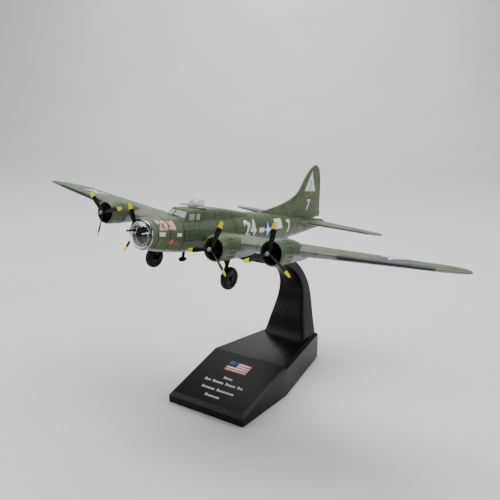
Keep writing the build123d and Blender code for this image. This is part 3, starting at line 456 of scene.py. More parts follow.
# pad-printed inks: matt films with a little unevenness
WHITE_INK = Finish("white_pad_ink", "dfe1dc", 0.45, drift="cfd1cc", drift_mm=2.0)
BLUE_INK = Finish("blue_pad_ink", "1d2f5c", 0.45, drift="24386a", drift_mm=2.0)
RED_INK = Finish("red_pad_ink", "a12b2a", 0.45, drift="8e2423", drift_mm=2.0)
PINK_INK = Finish("pink_pad_ink", "dcb6b2", 0.5, drift="c9908c", drift_mm=1.2)
ROSE_INK = Finish("rose_pad_ink", "b9595a", 0.5, drift="a24747", drift_mm=1.2)
AMBER_INK = Finish("amber_pad_ink", "937116", 0.5, drift="86650f", drift_mm=1.2)
SEAM_SHADOW = Finish("seam_shadow", "010101", 0.9, ior=1.1, drift="020202", axes=Axes.STAND)
DARK_INK = Finish("dark_seam_ink", "1a1c16", 0.55, drift="23261c")
# pale paint: the dome's base ring and the windscreen frame, and a painted highlight along the fin's leading
# edge
PALE_FRAME_AND_HIGHLIGHT = Finish("pale_frame_and_highlight_paint", "c3c6b6", 0.45, drift="b2b6a3", drift_mm=2.0)


# ------------------------------------------------------------------ mesh helpers
def body_of(node: str) -> str:
    """The moving body that a CAD node belongs to."""
    bodies = frame["record"]["behaviour"]["bodies"]
    return next(name for name, members in bodies.items() if node in members)


def soften(mesh_data: bmesh.types.BMesh, angle: float) -> None:
    """Shades faces smooth and keeps sharp edges crisp.

    Args:
        mesh_data: Shape to shade.
        angle: Edges sharper than this stay crisp, degrees.
    """
    for face in mesh_data.faces:
        face.smooth = True
    for edge in mesh_data.edges:
        edge.smooth = not (edge.is_manifold and edge.calc_face_angle(0.0) > math.radians(angle))


def finish_piece(name: str, shape: bmesh.types.BMesh, finish: Finish, body: str,
                 aircraft: bool = True, angle: float = 32.0) -> bpy.types.Object:
    """Turns a shape drawn in millimetres into a finished piece that rides on a body.

    Args:
        name: Piece name.
        shape: Shape in millimetres; it is freed.
        finish: Surface finish.
        body: Body that carries the piece.
        aircraft: Whether the shape is drawn in aircraft axes.
        angle: Edges sharper than this stay crisp.

    Returns:
        The object.
    """
    if not shape.faces:
        raise ValueError(f"{name} has no faces")
    shape.transform((AIRCRAFT if aircraft else Matrix.Identity(4)) @ Matrix.Scale(MM, 4))
    soften(shape, angle)
    data = bpy.data.meshes.new(name)
    shape.to_mesh(data)
    shape.free()
    piece = bpy.data.objects.new(name, data)
    bpy.context.scene.collection.objects.link(piece)
    data.materials.append(finish.material())
    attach(piece, body)
    log.info("%s on %s, %d faces", name, body, len(data.polygons))
    return piece


def dress_node(node: str, finish: Finish, angle: float = 24.0) -> bpy.types.Object:
    """Shows a CAD node as a welded, smooth-shaded copy in its finish.

    Args:
        node: CAD node.
        finish: Surface finish.
        angle: Edges sharper than this stay crisp.

    Returns:
        The copy that stands for the node.
    """
    shape = bmesh.new()
    shape.from_mesh(frame["nodes"][node].data)
    bmesh.ops.remove_doubles(shape, verts=shape.verts, dist=WELD)
    for layer in list(shape.loops.layers.float_vector):
        shape.loops.layers.float_vector.remove(layer)
    soften(shape, angle)
    data = bpy.data.meshes.new("skin_" + node)
    shape.to_mesh(data)
    shape.free()
    if "custom_normal" in data.attributes:
        data.attributes.remove(data.attributes["custom_normal"])
    piece = bpy.data.objects.new("skin_" + node, data)
    bpy.context.scene.collection.objects.link(piece)
    data.materials.append(finish.material())
    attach(piece, body_of(node))
    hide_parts(node)
    log.info("%s dressed in %s", node, finish.name)
    return piece


def cut_into_cells(shape: bmesh.types.BMesh, step: float) -> None:
    """Cuts flat art along a grid, so that it can follow a curved surface.

    Args:
        shape: Flat art.
        step: Size of a cell.
    """
    for axis in (0, 1):
        spots = [vert.co[axis] for vert in shape.verts]
        low, high = min(spots), max(spots)
        normal = Vector((1, 0, 0)) if axis == 0 else Vector((0, 1, 0))
        for k in range(1, int((high - low) / step) + 1):
            point = normal * (low + k * step)
            geometry = shape.verts[:] + shape.edges[:] + shape.faces[:]
            bmesh.ops.bisect_plane(shape, geom=geometry, plane_co=point, plane_no=normal, dist=1e-5)


# ------------------------------------------------------------------ flat art for the markings
def bar(width: float, height: float, x: float = 0.0, y: float = 0.0) -> bmesh.types.BMesh:
    """Flat rectangle.

    Args:
        width: Size along x.
        height: Size along y.
        x: Centre along x.
        y: Centre along y.

    Returns:
        The flat shape.
    """
    shape = bmesh.new()
    bmesh.ops.create_grid(shape, x_segments=1, y_segments=1, size=0.5)
    bmesh.ops.scale(shape, vec=(width, height, 1), verts=shape.verts)
    bmesh.ops.translate(shape, vec=(x, y, 0), verts=shape.verts)
    return shape


def disc(radius: float, segments: int = 48) -> bmesh.types.BMesh:
    """Flat disc.

    Args:
        radius: Radius.
        segments: Number of sides.

    Returns:
        The flat shape.
    """
    shape = bmesh.new()
    bmesh.ops.create_circle(shape, cap_ends=True, radius=radius, segments=segments)
    return shape


def pointed_star(radius: float, points: int = 4, waist: float = 0.36) -> bmesh.types.BMesh:
    """Flat star with plain points.

    Args:
        radius: Outer radius.
        points: Number of points.
        waist: Inner radius over the outer.

    Returns:
        The flat shape.
    """
    shape = bmesh.new()
    bmesh.ops.create_circle(shape, cap_ends=True, radius=radius, segments=2 * points)
    ring = sorted(shape.verts, key=lambda vert: math.atan2(vert.co.y, vert.co.x))
    upright = min(range(len(ring)), key=lambda k: abs(ring[k].co.x) - ring[k].co.y)
    inner = [vert for k, vert in enumerate(ring) if (k - upright) % 2]
    bmesh.ops.scale(shape, vec=(waist, waist, 1), verts=inner)
    bmesh.ops.triangulate(shape, faces=shape.faces)
    return shape


def wedge(base: float, height: float) -> bmesh.types.BMesh:
    """Flat upright triangle with its foot at y = 0.

    Args:
        base: Width of the foot.
        height: Height of the tip.

    Returns:
        The flat shape.
    """
    shape = bmesh.new()
    corners = [shape.verts.new(spot) for spot in ((-base / 2, 0, 0), (base / 2, 0, 0), (0, height, 0))]
    shape.faces.new(corners)
    return shape


def outline(corners: Sequence[tuple[float, float]], line: float) -> bmesh.types.BMesh:
    """Flat outline of a convex polygon.

    A new face has no normal yet when it is inset here, so the line comes out with no width.
    The windscreen frames, which are drawn with it, hardly show for that reason.

    Args:
        corners: Corners of the polygon.
        line: Width that was meant for the line.

    Returns:
        The flat shape.
    """
    shape = bmesh.new()
    shape.faces.new([shape.verts.new((x, y, 0)) for x, y in corners])
    middle = shape.faces[:]
    bmesh.ops.inset_region(shape, faces=middle, thickness=line, use_boundary=True, use_even_offset=True)
    bmesh.ops.delete(shape, geom=middle, context="FACES_ONLY")
    return shape


def border(width: float, height: float, line: float) -> bmesh.types.BMesh:
    """Flat rectangular outline.

    Args:
        width: Size along the first axis.
        height: Size along the second axis.
        line: Width of the line.

    Returns:
        The flat shape.
    """
    shape = bar(width, height)
    bmesh.ops.inset_region(shape, faces=shape.faces[:], thickness=line, use_boundary=True,
                           use_even_offset=True)
    middle = min(shape.faces, key=lambda face: face.calc_center_median().length)
    bmesh.ops.delete(shape, geom=[middle], context="FACES_ONLY")
    return shape


def mesh_of(curve: bpy.types.Curve) -> bmesh.types.BMesh:
    """Turns a curve or text datablock to a mesh shape and removes the datablock.

    Args:
        curve: Curve or text; it is used up.

    Returns:
        The shape.
    """
    holder = bpy.data.objects.new("holder", curve)
    bpy.context.scene.collection.objects.link(holder)
    depsgraph = bpy.context.evaluated_depsgraph_get()
    data = bpy.data.meshes.new_from_object(holder.evaluated_get(depsgraph))
    shape = bmesh.new()
    shape.from_mesh(data)
    bpy.data.objects.remove(holder)
    bpy.data.curves.remove(curve)
    bpy.data.meshes.remove(data)
    bmesh.ops.remove_doubles(shape, verts=shape.verts, dist=1e-5)
    return shape


def bead(path: Sequence[Vector], radius: float, closed: bool = False) -> bmesh.types.BMesh:
    """Round bar bent along a path.

    Args:
        path: Points of the centreline.
        radius: Radius of the bar.
        closed: Whether the path joins its own start.

    Returns:
        The closed shape.
    """
    curve = bpy.data.curves.new("bead", "CURVE")
    curve.dimensions, curve.bevel_depth, curve.bevel_resolution = "3D", radius, 2
    curve.use_fill_caps = not closed
    spline = curve.splines.new("POLY")
    spline.points.add(len(path) - 1)
    for point, spot in zip(spline.points, path):
        point.co = (*spot, 1.0)
    spline.use_cyclic_u = closed
    shape = mesh_of(curve)
    bmesh.ops.recalc_face_normals(shape, faces=shape.faces)
    return shape


def arc_path(centre: Sequence[float], out: Sequence[float], along: Sequence[float], first: float,
             last: float, steps: int = 32) -> list[Vector]:
    """Points of an elliptic arc.

    Args:
        centre: Centre of the ellipse.
        out: Half axis at angle 0.
        along: Half axis at angle 90.
        first: First angle, degrees.
        last: Last angle, degrees.
        steps: Number of equal steps.

    Returns:
        The points; the last one is left out of a full turn.
    """
    count = steps if abs(last - first) >= 360 else steps + 1
    angles = [math.radians(first + (last - first) * k / steps) for k in range(count)]
    middle, first_axis, second_axis = Vector(centre), Vector(out), Vector(along)
    return [middle + first_axis * math.cos(angle) + second_axis * math.sin(angle) for angle in angles]


def numerals(text: str, height: float, weight: float = 0.02) -> bmesh.types.BMesh:
    """Flat plain numerals centred on the origin.

    Args:
        text: Digits.
        height: Height of a digit.
        weight: How much the strokes are thickened.

    Returns:
        The flat shape.
    """
    curve = bpy.data.curves.new("numerals", "FONT")
    curve.body, curve.align_x, curve.align_y = text, "CENTER", "CENTER"
    curve.size, curve.offset, curve.resolution_u = 1.0, weight, 3
    shape = mesh_of(curve)
    ys, xs = [vert.co.y for vert in shape.verts], [vert.co.x for vert in shape.verts]
    size = height / (max(ys) - min(ys))
    centre = Vector(((max(xs) + min(xs)) / 2, (max(ys) + min(ys)) / 2, 0))
    bmesh.ops.translate(shape, vec=-centre, verts=shape.verts)
    bmesh.ops.scale(shape, vec=(size, size, 1), verts=shape.verts)
    return shape


def together(*shapes: bmesh.types.BMesh) -> bmesh.types.BMesh:
    """Gathers flat shapes into one.

    Args:
        shapes: Flat shapes; they are freed.

    Returns:
        The joint shape.
    """
    whole = bmesh.new()
    for shape in shapes:
        data = bpy.data.meshes.new("gather")
        shape.to_mesh(data)
        shape.free()
        whole.from_mesh(data)
        bpy.data.meshes.remove(data)
    return whole


class Lay(Enum):
    """The side that a marking is read from: right, up and the way it is pressed on, in aircraft axes."""

    PORT = ((0, 1, 0), (0, 0, 1), (-1, 0, 0))
    STARBOARD = ((0, -1, 0), (0, 0, 1), (1, 0, 0))
    ABOVE = ((-1, 0, 0), (0, -1, 0), (0, 0, -1))
    FRONT = ((1, 0, 0), (0, 0, 1), (0, 1, 0))


class PrintBed:
    """Surface that markings are pressed on to, gathered from CAD nodes."""

    def __init__(self, nodes: Iterable[str], aircraft: bool = True) -> None:
        """Gathers the nodes.

        Args:
            nodes: CAD nodes that take the print.
            aircraft: Whether to work in aircraft axes; otherwise in the stand's.
        """
        self.aircraft = aircraft
        inverse = Matrix.Scale(1 / MM, 4) @ (AIRCRAFT.inverted() if aircraft else Matrix.Identity(4))
        shape = bmesh.new()
        for node in nodes:
            shape.from_mesh(frame["nodes"][node].data)
        shape.transform(inverse)
        self.tree = BVHTree.FromBMesh(shape)
        shape.free()

    def press(self, name: str, art: bmesh.types.BMesh, anchor: tuple[float, float, float], lay: Lay,
              finish: Finish, body: str = "airframe", slot: str = "olive_paint", step: float = 0.7,
              layer: int = 0, tilt: float = 0.0) -> bpy.types.Object:
        """Prints flat art on the surface.

        Args:
            name: Piece name.
            art: Flat art in millimetres round its own origin; it is used up.
            anchor: Point in the bed's axes where the art's origin goes.
            lay: Side that the art is read from.
            finish: Ink.
            body: Body that carries the marking.
            slot: Record slot of the marking; not used.
            step: Size of the cells that follow the curve.
            layer: Number of inks below this one.
            tilt: Turn of the art in its own plane, degrees.

        Returns:
            The marking.
        """
        if tilt:
            turn = Matrix.Rotation(math.radians(tilt), 3, "Z")
            bmesh.ops.rotate(art, cent=(0, 0, 0), matrix=turn, verts=art.verts)
        cut_into_cells(art, step)
        right, up, inward = (Vector(way) for way in lay.value)
        lift = INK_LIFT * (1 + layer)
        lost = []
        for vert in art.verts:
            spot = Vector(anchor) + right * vert.co.x + up * vert.co.y
            hit = self.tree.ray_cast(spot - inward * PRESS_REACH, inward)[0]
            if hit is None:
                lost.append(vert)
                continue
            vert.co = hit - inward * lift
        bmesh.ops.delete(art, geom=lost, context="VERTS")
        bmesh.ops.recalc_face_normals(art, faces=art.faces)
        facing = sum((face.normal.dot(inward) * face.calc_area() for face in art.faces), 0.0)
        if facing > 0:
            bmesh.ops.reverse_faces(art, faces=art.faces)
        piece = finish_piece(name, art, finish, body, self.aircraft, angle=60.0)
        film = piece.modifiers.new("film", "SOLIDIFY")
        film.thickness, film.offset = INK_FILM * MM, -1.0
        return piece


# ------------------------------------------------------------------ sub-assemblies
@dataclass
class Airframe:
    """Fuselage, wings, tail and fittings in their paint."""

    finishes: dict = field(default_factory=lambda: {
        "fuselage_left": HULL_PAINT, "fuselage_right": HULL_PAINT, "wing_left": WING_PAINT,
        "wing_right": WING_PAINT, "tailplane_left": TAIL_PAINT, "tailplane_right": TAIL_PAINT,
        "fin": FIN_PAINT, "belly_socket": SOCKET_BLACK, "cockpit_windows": CABIN_PANES,
        "nose_windows": PANE_WHITE, "waist_windows": PANE_WHITE, "radio_windows": PANE_WHITE,
        "nose_glazing": CLEAR, "nose_bulkhead": CABIN_GREEN, "nose_gun": GUN_ENAMEL,
        "tail_glazing": CLEAR, "tail_guns": GUN_ENAMEL, "direction_finder": BLACK_ENAMEL,
        "top_turret_ring": COWL_PAINT, "top_turret_guns": PALE_METAL, "top_turret_dome": DOME_CLEAR,
        "ball_turret": COWL_PAINT, "ball_turret_guns": GUN_ENAMEL,
    })

    # pale bead along the fin's leading edge: a painted highlight of the lit edge
    highlight_radius: float = 0.38
    highlight_inset: tuple = (0.0, 0.18, -0.14)
    fin_edge_highlight: tuple = ((92.0, 8.6), (96.0, 9.3), (102.0, 10.4), (109.0, 12.0), (115.2, 14.0),
                       (119.8, 16.2), (123.0, 18.6), (125.2, 21.4), (127.0, 24.3), (129.3, 27.2),
                       (131.6, 29.6), (133.8, 31.2), (136.2, 32.3))    # aircraft y, z

    def build(self) -> None:
        """Dresses every node of the airframe and lays a pale bead along the fin's leading edge as a painted
        highlight.
        """
        for node, finish in self.finishes.items():
            dress_node(node, finish)
        edge = [Vector((0, y, z)) + Vector(self.highlight_inset) for y, z in self.fin_edge_highlight]
        # painted highlight: pale bead along the fin's leading edge
        finish_piece("fin_edge_highlight", bead(edge, self.highlight_radius), PALE_FRAME_AND_HIGHLIGHT, "airframe")


@dataclass
class PowerPlants:
    """Cowls, engines and propellers."""

    hubs: dict = field(default_factory=lambda: {
        1: (44.0, 28.4, 1.1), 2: (19.9, 25.5, -2.1), 3: (-19.9, 25.5, -2.1), 4: (-44.0, 28.4, 1.1)})

    def build(self) -> None:
        """Dresses each engine's nodes."""
        for number, hub in self.hubs.items():
            dress_node(f"cowling_{number}", COWL_PAINT)
            dress_node(f"engine_{number}", ENGINE_CAST)
            blades = TippedPaint(f"tipped_blades_{number}", "0a0a0b", 0.36, ior=1.3, drift="101011",
                                 hub=hub)
            dress_node(f"propeller_{number}", blades)
            dress_node(f"propeller_hub_{number}", HUB_GREY)


@dataclass
class Undercarriage:
    """Legs, wheels and tyres."""

    def build(self) -> None:
        """Dresses each node of the undercarriage."""
        for side in ("left", "right"):
            dress_node(f"main_gear_{side}", GUN_ENAMEL)
            dress_node(f"main_wheel_{side}", WHEEL_BLACK)
            dress_node(f"main_tyre_{side}", TYRE_RUBBER)
        dress_node("tail_gear", GUN_ENAMEL)
        dress_node("tail_wheel", TYRE_RUBBER)


@dataclass
class Markings:
    """Numbers, roundels and bands printed on the paint; places are x, y, z in aircraft axes."""

    code: tuple = ("24", 7.4, (0, 69.8, 1.7))
    letter: tuple = ("7", 6.4, (0, 108.7, 0.9))
    side_roundel: tuple = (3.7, (0.0, 85.7, 0.6))
    bar_length: float = 4.7        # over the roundel's radius
    bar_height: float = 0.58
    star_reach: float = 0.96
    fin_wedge: tuple = (12.4, 11.0, (0, 135.3, 18.4))
    fin_digit: tuple = ("1", 4.6, (0, 135.4, 21.8))
    serial: tuple = ("205731", 2.2, (0, 135.2, 16.4))
    fin_code: tuple = ("7", 6.0, (0, 135.4, 10.9))
    nose_number: tuple = ("2308", 3.3, (0, 15.6, 4.7))
    diamond: tuple = (2.2, (0, 16.9, -1.4))
    hatch_rows: tuple = (4.5, 2.6, 0.8, -1.2)
    hatch_columns: tuple = (23.9, 27.1, 30.2, 33.2)
    hatch_size: tuple = (9.4, 5.7)
    hatch_centre: tuple = (28.5, 1.65)
    hatch_line: float = 0.16
    wing_roundel: tuple = (5.6, 5.2, (81.5, 54.0, 0))
    wing_code: tuple = ("24", 8.2, (-81.0, 57.0, 0))
    bold: float = 0.03
    fine: float = 0.01

    def roundel(self, bed: PrintBed, name: str, lay: Lay) -> None:
        """Blue disc with white bars and a plain star.

        Args:
            bed: Surface that takes the print.
            name: Start of the pieces' names.
            lay: Side that it is read from.
        """
        radius, anchor = self.side_roundel
        bars = bar(radius * self.bar_length, radius * self.bar_height)
        bed.press(name + "_bars", bars, anchor, lay, WHITE_INK)
        bed.press(name + "_disc", disc(radius), anchor, lay, BLUE_INK, layer=1)
        star = pointed_star(radius * self.star_reach)
        bed.press(name + "_star", star, anchor, lay, WHITE_INK, layer=2, step=0.5)

    def fin(self, bed: PrintBed, side: str, lay: Lay) -> None:
        """Wedge, digit, serial and code on one side of the fin.

        Args:
            bed: The fin.
            side: Start of the pieces' names.
            lay: Side that it is read from.
        """
        base, height, foot = self.fin_wedge
        bed.press(f"{side}_fin_wedge", wedge(base, height), foot, lay, WHITE_INK, step=1.5)
        text, height, spot = self.fin_digit
        bed.press(f"{side}_fin_digit", numerals(text, height, self.fine), spot, lay, BLUE_INK, layer=1)
        text, height, spot = self.serial
        bed.press(f"{side}_serial", numerals(text, height, self.fine), spot, lay, AMBER_INK, step=1.5)
        text, height, spot = self.fin_code
        bed.press(f"{side}_fin_code", numerals(text, height, self.bold), spot, lay, WHITE_INK, step=1.5)

    def nose(self, bed: PrintBed, side: str, lay: Lay) -> None:
        """Pink numbers, a rose diamond and the hatch outline on one side of the nose.

        Args:
            bed: The hull.
            side: Start of the pieces' names.
            lay: Side that it is read from.
        """
        text, height, spot = self.nose_number
        bed.press(f"{side}_nose_number", numerals(text, height, 0.05), spot, lay, PINK_INK, step=0.5)
        size, spot = self.diamond
        bed.press(f"{side}_nose_diamond", bar(size, size), spot, lay, ROSE_INK, step=0.5, tilt=45.0)
        wide, tall = self.hatch_size
        middle_y, middle_z = self.hatch_centre
        for k, height in enumerate(self.hatch_rows):
            line = bar(wide, self.hatch_line)
            bed.press(f"{side}_hatch_row_{k}", line, (0, middle_y, height), lay, DARK_INK)
        for k, station in enumerate(self.hatch_columns):
            line = bar(self.hatch_line, tall)
            bed.press(f"{side}_hatch_column_{k}", line, (0, station, middle_z), lay, DARK_INK)

    def wings(self) -> None:
        """Roundel on the port wing and code on the starboard wing."""
        port, starboard = PrintBed(("wing_left",)), PrintBed(("wing_right",))
        radius, star, spot = self.wing_roundel
        port.press("port_wing_disc", disc(radius), spot, Lay.ABOVE, BLUE_INK)
        port.press("port_wing_star", pointed_star(star), spot, Lay.ABOVE, WHITE_INK, layer=1)
        text, height, spot = self.wing_code
        starboard.press("starboard_wing_code", numerals(text, height, self.bold), spot, Lay.ABOVE, WHITE_INK)

    def build(self) -> None:
        """Prints every marking."""
        hull = PrintBed(("fuselage_left", "fuselage_right", "nose_windows", "waist_windows", "radio_windows"))
        fin_bed = PrintBed(("fin",))
        sides = (("port", Lay.PORT), ("starboard", Lay.STARBOARD))
        for side, lay in sides:
            text, height, spot = self.code
            hull.press(f"{side}_code", numerals(text, height, self.bold), spot, lay, WHITE_INK)
            text, height, spot = self.letter
            hull.press(f"{side}_letter", numerals(text, height, self.bold), spot, lay, WHITE_INK)
            self.roundel(hull, f"{side}_roundel", lay)
            self.fin(fin_bed, side, lay)
        for side, lay in sides:
            self.nose(hull, side, lay)
        self.wings()


@dataclass
class Glazing:
    """Frames and rings on the clear nose, the cockpit and the turret dome; the chrome ring on the nose's rim
    is a painted highlight.
    """

    ring_radius: float = 5.5
    ring_bead: float = 0.19
    ring_y: float = 7.8
    axis_z: float = 0.55
    nose_foot: float = 7.3
    nose_radius: float = 5.25
    nose_rise: float = 4.0
    nose_members: tuple = (("lower", -90.0, 74, 0.2, WHITE_INK), ("port", 20.0, 50, 0.12, CHROME_FRAME_AND_RIM_HIGHLIGHT),
                           ("starboard", 160.0, 50, 0.12, CHROME_FRAME_AND_RIM_HIGHLIGHT))    # turn, last angle, radius
    dome_y: float = 38.6
    dome_z: float = 10.85
    dome_radius: float = 3.5
    dome_height: float = 3.7
    dome_skirt: float = 0.9
    dome_ring_bead: float = 0.17
    dome_ring_stand: float = 0.05      # how far the ring stands out from the dome
    dome_ring_lift: float = 0.12
    dome_turns: tuple = (25.0, 90.0, 155.0)
    dome_member_bead: float = 0.17
    crown_bead: float = 0.15
    crown_rise: float = 0.8            # over the dome's rise
    crown_radius: float = 0.6          # over the dome's radius
    cabin_panes: tuple = (("front", 4.3, 3.6, 30.3, 7.65), ("rear", 3.4, 3.4, 34.25, 7.55))
    cabin_line: float = 0.3
    screen: tuple = ((0.1, 7.9), (0.1, 10.2), (4.1, 9.75), (4.5, 7.0))     # aircraft x, z
    screen_line: float = 0.24

    def nose(self) -> None:
        """Chrome bead round the clear nose's rim as a painted highlight, and the frame members of the clear
        nose.
        """
        # painted highlight: chrome bead round the rim of the clear nose, which has only a clear flange there
        centre = (0, self.ring_y, self.axis_z)
        ring = arc_path(centre, (self.ring_radius, 0, 0), (0, 0, self.ring_radius), 0, 360, 72)
        shape = bead(ring, self.ring_bead, True)
        finish_piece("nose_rim_highlight", shape, CHROME_FRAME_AND_RIM_HIGHLIGHT, "airframe")
        foot = (0, self.nose_foot, self.axis_z)
        for name, turn, last, radius, finish in self.nose_members:
            way = Vector((math.cos(math.radians(turn)), 0, math.sin(math.radians(turn))))
            member = arc_path(foot, way * self.nose_radius, (0, -self.nose_rise, 0), 2, last)
            finish_piece(f"nose_frame_{name}", bead(member, radius), finish, "airframe")

    def dome(self) -> None:
        """Base ring, hoops and crown ring of the top turret's dome."""
        low, rise = self.dome_z + self.dome_skirt, self.dome_height - self.dome_skirt
        wide = self.dome_radius + self.dome_ring_stand
        foot = (0, self.dome_y, self.dome_z + self.dome_ring_lift)
        ring = bead(arc_path(foot, (wide, 0, 0), (0, wide, 0), 0, 360, 72), self.dome_ring_bead, True)
        finish_piece("dome_ring", ring, PALE_FRAME_AND_HIGHLIGHT, "top_turret")
        for number, turn in enumerate(self.dome_turns):
            way = Vector((math.cos(math.radians(turn)), math.sin(math.radians(turn)), 0))
            hoop = arc_path((0, self.dome_y, low), way * self.dome_radius, (0, 0, rise), 2, 178)
            shape = bead(hoop, self.dome_member_bead)
            finish_piece(f"dome_frame_{number}", shape, WHITE_INK, "top_turret")
        wide = self.dome_radius * self.crown_radius
        middle = (0, self.dome_y, low + rise * self.crown_rise)
        crown = bead(arc_path(middle, (wide, 0, 0), (0, wide, 0), 0, 360, 48), self.crown_bead, True)
        finish_piece("dome_crown_ring", crown, WHITE_INK, "top_turret")

    def cabin(self) -> None:
        """Frames printed round the cabin panes."""
        bed = PrintBed(("fuselage_left", "fuselage_right", "cockpit_windows"))
        for side, lay, sign in (("port", Lay.PORT, 1), ("starboard", Lay.STARBOARD, -1)):
            for name, wide, tall, y, z in self.cabin_panes:
                frame_art = border(wide, tall, self.cabin_line)
                bed.press(f"{side}_frame_{name}", frame_art, (0, y, z), lay, DARK_INK, step=0.5)
            pane = [(sign * x, z) for x, z in self.screen][::sign]
            screen_art = outline(pane, self.screen_line)
            bed.press(f"{side}_frame_screen", screen_art, (0, 0, 0), Lay.FRONT, PALE_FRAME_AND_HIGHLIGHT, step=0.6)

    def build(self) -> None:
        """Adds every frame."""
        self.nose()
        self.dome()
        self.cabin()


@dataclass
class Stand:
    """Moulded base, arm and the plate's print."""

    finishes: dict = field(default_factory=lambda: {
        "stand_base": STAND_BLACK, "arm_left": STAND_BLACK, "arm_right": STAND_BLACK,
        "base_cover": COVER_BLACK, "base_pad": PAD_FOAM, "base_screws": SCREW_ZINC,
        "arm_screws": SCREW_ZINC, "support_peg": PEG_STEEL,
    })
    crisp: float = 20.0
    seam: tuple = (0.22, 34.0, 37.0)       # width, length, middle height
    emblem: tuple = (0.0, -16.2)           # x, y
    emblem_size: tuple = (12.5, 7.0)
    stripes: int = 9
    hoist_width: float = 0.4               # over the emblem's width
    hoist_stripes: int = 5
    block_pitch: float = 0.95
    block_wide: float = 0.62
    block_low: float = 1.1
    block_tall: float = 1.7
    word_gap: float = 1.1
    rows: tuple = ((-24.8, (5.2,)), (-28.5, (3.6, 6.4, 5.8, 3.2)), (-33.3, (7.6, 9.8)), (-37.6, (8.4,)))

    def build(self) -> None:
        """Dresses the stand, marks the arm's seam and prints the plate."""
        for node, finish in self.finishes.items():
            dress_node(node, finish, angle=self.crisp)
        arm = PrintBed(("arm_left", "arm_right"), aircraft=False)
        width, length, height = self.seam
        arm.press("arm_seam", bar(width, length), (0, 0, height), Lay.FRONT, SEAM_SHADOW, "stand",
                  "black_plastic", step=2.0)
        bed = PrintBed(("stand_base",), aircraft=False)
        self.print_emblem(bed)
        self.print_rows(bed)

    def lay_flat(self, bed: PrintBed, name: str, art: bmesh.types.BMesh, x: float, y: float, finish: Finish,
                 layer: int = 0) -> None:
        """Prints art on the slope, read from the front."""
        bmesh.ops.scale(art, vec=(-1, -1, 1), verts=art.verts)
        bed.press(name, art, (x, y, 0), Lay.ABOVE, finish, "stand", "black_plastic", step=4.0, layer=layer)

    def print_emblem(self, bed: PrintBed) -> None:
        """Plain striped emblem: a blue hoist band beside red and white stripes.

        Args:
            bed: Surface that takes the print.
        """
        wide, tall = self.emblem_size
        x, y = self.emblem
        self.lay_flat(bed, "emblem_field", bar(wide, tall), x, y, WHITE_INK)
        band = tall / self.stripes
        spots = [(k - self.stripes // 2) * band for k in range(0, self.stripes, 2)]
        reds = together(*(bar(wide, band, 0, spot) for spot in spots))
        self.lay_flat(bed, "emblem_stripes", reds, x, y, RED_INK, 1)
        hoist_wide, hoist_tall = wide * self.hoist_width, band * self.hoist_stripes
        hoist = bar(hoist_wide, hoist_tall, (hoist_wide - wide) / 2, (tall - hoist_tall) / 2)
        self.lay_flat(bed, "emblem_hoist", hoist, x, y, BLUE_INK, 2)

    def print_rows(self, bed: PrintBed) -> None:
        """Rows of plain blocks where a plate carries its wording.

        Args:
            bed: Surface that takes the print.
        """
        for number, (y, words) in enumerate(self.rows):
            spot = -(sum(words) + self.word_gap * (len(words) - 1)) / 2
            blocks = []
            for word in words:
                count = round(word / self.block_pitch)
                for k in range(count):
                    tall = self.block_tall if k == 0 else self.block_low
                    middle = spot + (k + 0.5) * word / count
                    blocks.append(bar(self.block_wide, tall, middle, (tall - self.block_low) / 2))
                spot += word + self.word_gap
            self.lay_flat(bed, f"plate_row_{number}", together(*blocks), 0, y, WHITE_INK)


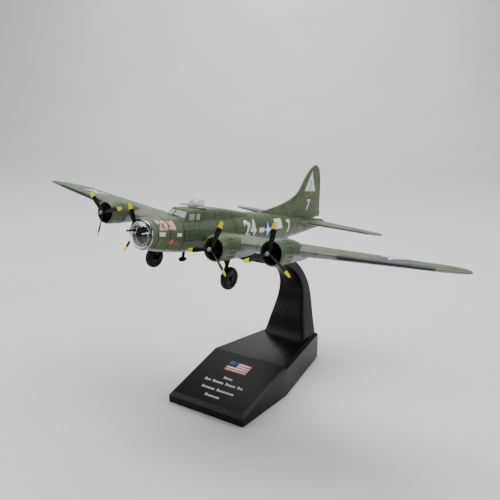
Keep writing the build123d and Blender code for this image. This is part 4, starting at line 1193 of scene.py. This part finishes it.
# ------------------------------------------------------------------ studio
@dataclass
class Studio:
    """Pale floor, soft lights and the camera; all lengths in metres."""

    camera_spot: tuple = (0.15513, -0.23605, 0.13803)
    azimuth: float = 33.96
    elevation: float = 13.68
    lens: float = 42.55
    sensor: float = 36.0
    reach: float = 1.3         # floor behind the model
    front: float = 7.0         # floor before the model
    bend: float = 0.9          # radius between floor and wall
    wall: float = 3.0
    half_width: float = 6.0
    world: str = "c9cbce"
    world_strength: float = 0.35
    middle: tuple = (0, 0, 0.07)
    lamps: tuple = (           # name, place, size, power
        ("overhead", (-0.15, 0.1, 0.9), 0.7, 11.5),
        ("front_left", (-0.7, -0.7, 0.45), 0.5, 2.8),
        ("right_fill", (0.9, -0.1, 0.35), 0.5, 2.2),
        ("rim", (0.62, 0.46, 0.6), 0.4, 2.4),
    )
    backdrop: tuple = ("backdrop", (-0.8, 1.4, 1.4), 1.2, 24.0, (-1.3, 2.0, 0.3))

    def floor(self) -> None:
        """Seamless pale sweep: flat under the model, curving up to a wall behind it."""
        shape = bmesh.new()
        profile = [Vector((-self.half_width, -self.front, 0)), Vector((-self.half_width, self.reach, 0))]
        centre = (-self.half_width, self.reach, self.bend)
        profile += arc_path(centre, (0, 0, -self.bend), (0, self.bend, 0), 7.5, 90, 11)
        profile.append(Vector((-self.half_width, self.reach + self.bend, self.bend + self.wall)))
        verts = [shape.verts.new(spot) for spot in profile]
        edges = [shape.edges.new(pair) for pair in zip(verts, verts[1:])]
        grown = bmesh.ops.extrude_edge_only(shape, edges=edges)["geom"]
        moved = [item for item in grown if isinstance(item, bmesh.types.BMVert)]
        bmesh.ops.translate(shape, vec=(2 * self.half_width, 0, 0), verts=moved)
        turn = Matrix.Rotation(math.radians(self.azimuth), 3, "Z")
        bmesh.ops.rotate(shape, cent=(0, 0, 0), matrix=turn, verts=shape.verts)
        bmesh.ops.recalc_face_normals(shape, faces=shape.faces)
        soften(shape, 60.0)
        data = bpy.data.meshes.new("floor")
        shape.to_mesh(data)
        shape.free()
        floor = bpy.data.objects.new("floor", data)
        bpy.context.scene.collection.objects.link(floor)
        paper = Finish("matt_paper", "dcdcdb", 0.85, drift="d8d8d8", drift_mm=200.0, axes=Axes.STAND)
        data.materials.append(paper.material())

    def light(self, name: str, spot: tuple[float, float, float], size: float, power: float,
              aim: tuple[float, float, float]) -> None:
        """Square soft light.

        Args:
            name: Name of the light.
            spot: Place of the light.
            size: Length of a side.
            power: Power, watts.
            aim: Point that it is turned to.
        """
        data = bpy.data.lights.new(name, "AREA")
        data.shape, data.size, data.energy = "SQUARE", size, power
        lamp = bpy.data.objects.new(name, data)
        lamp.location = spot
        lamp.rotation_euler = (Vector(aim) - Vector(spot)).to_track_quat("-Z", "Y").to_euler()
        bpy.context.scene.collection.objects.link(lamp)

    def camera(self) -> None:
        """Camera that looks down on the model from its port bow."""
        data = bpy.data.cameras.new("camera")
        data.lens, data.sensor_width, data.clip_start = self.lens, self.sensor, 0.01
        camera = bpy.data.objects.new("camera", data)
        camera.location = self.camera_spot
        camera.rotation_euler = (math.radians(90 - self.elevation), 0, math.radians(self.azimuth))
        bpy.context.scene.collection.objects.link(camera)
        bpy.context.scene.camera = camera

    def build(self) -> None:
        """Sets the floor, the lights, the surroundings and the camera."""
        self.floor()
        for lamp in self.lamps:
            self.light(*lamp, self.middle)
        self.light(*self.backdrop)
        world = bpy.data.worlds.new("studio")
        world.use_nodes = True
        background = world.node_tree.nodes["Background"]
        background.inputs["Color"].default_value = rgb(self.world)
        background.inputs["Strength"].default_value = self.world_strength
        bpy.context.scene.world = world
        self.camera()


def main() -> None:
    """Builds the model and its studio."""
    logging.basicConfig(level=logging.INFO, format="%(message)s")
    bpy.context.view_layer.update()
    Studio().build()
    for assembly in (Airframe(), PowerPlants(), Undercarriage(), Markings(), Glazing(), Stand()):
        assembly.build()
        log.info("%s done", type(assembly).__name__)


if __name__ == "__main__":
    main()
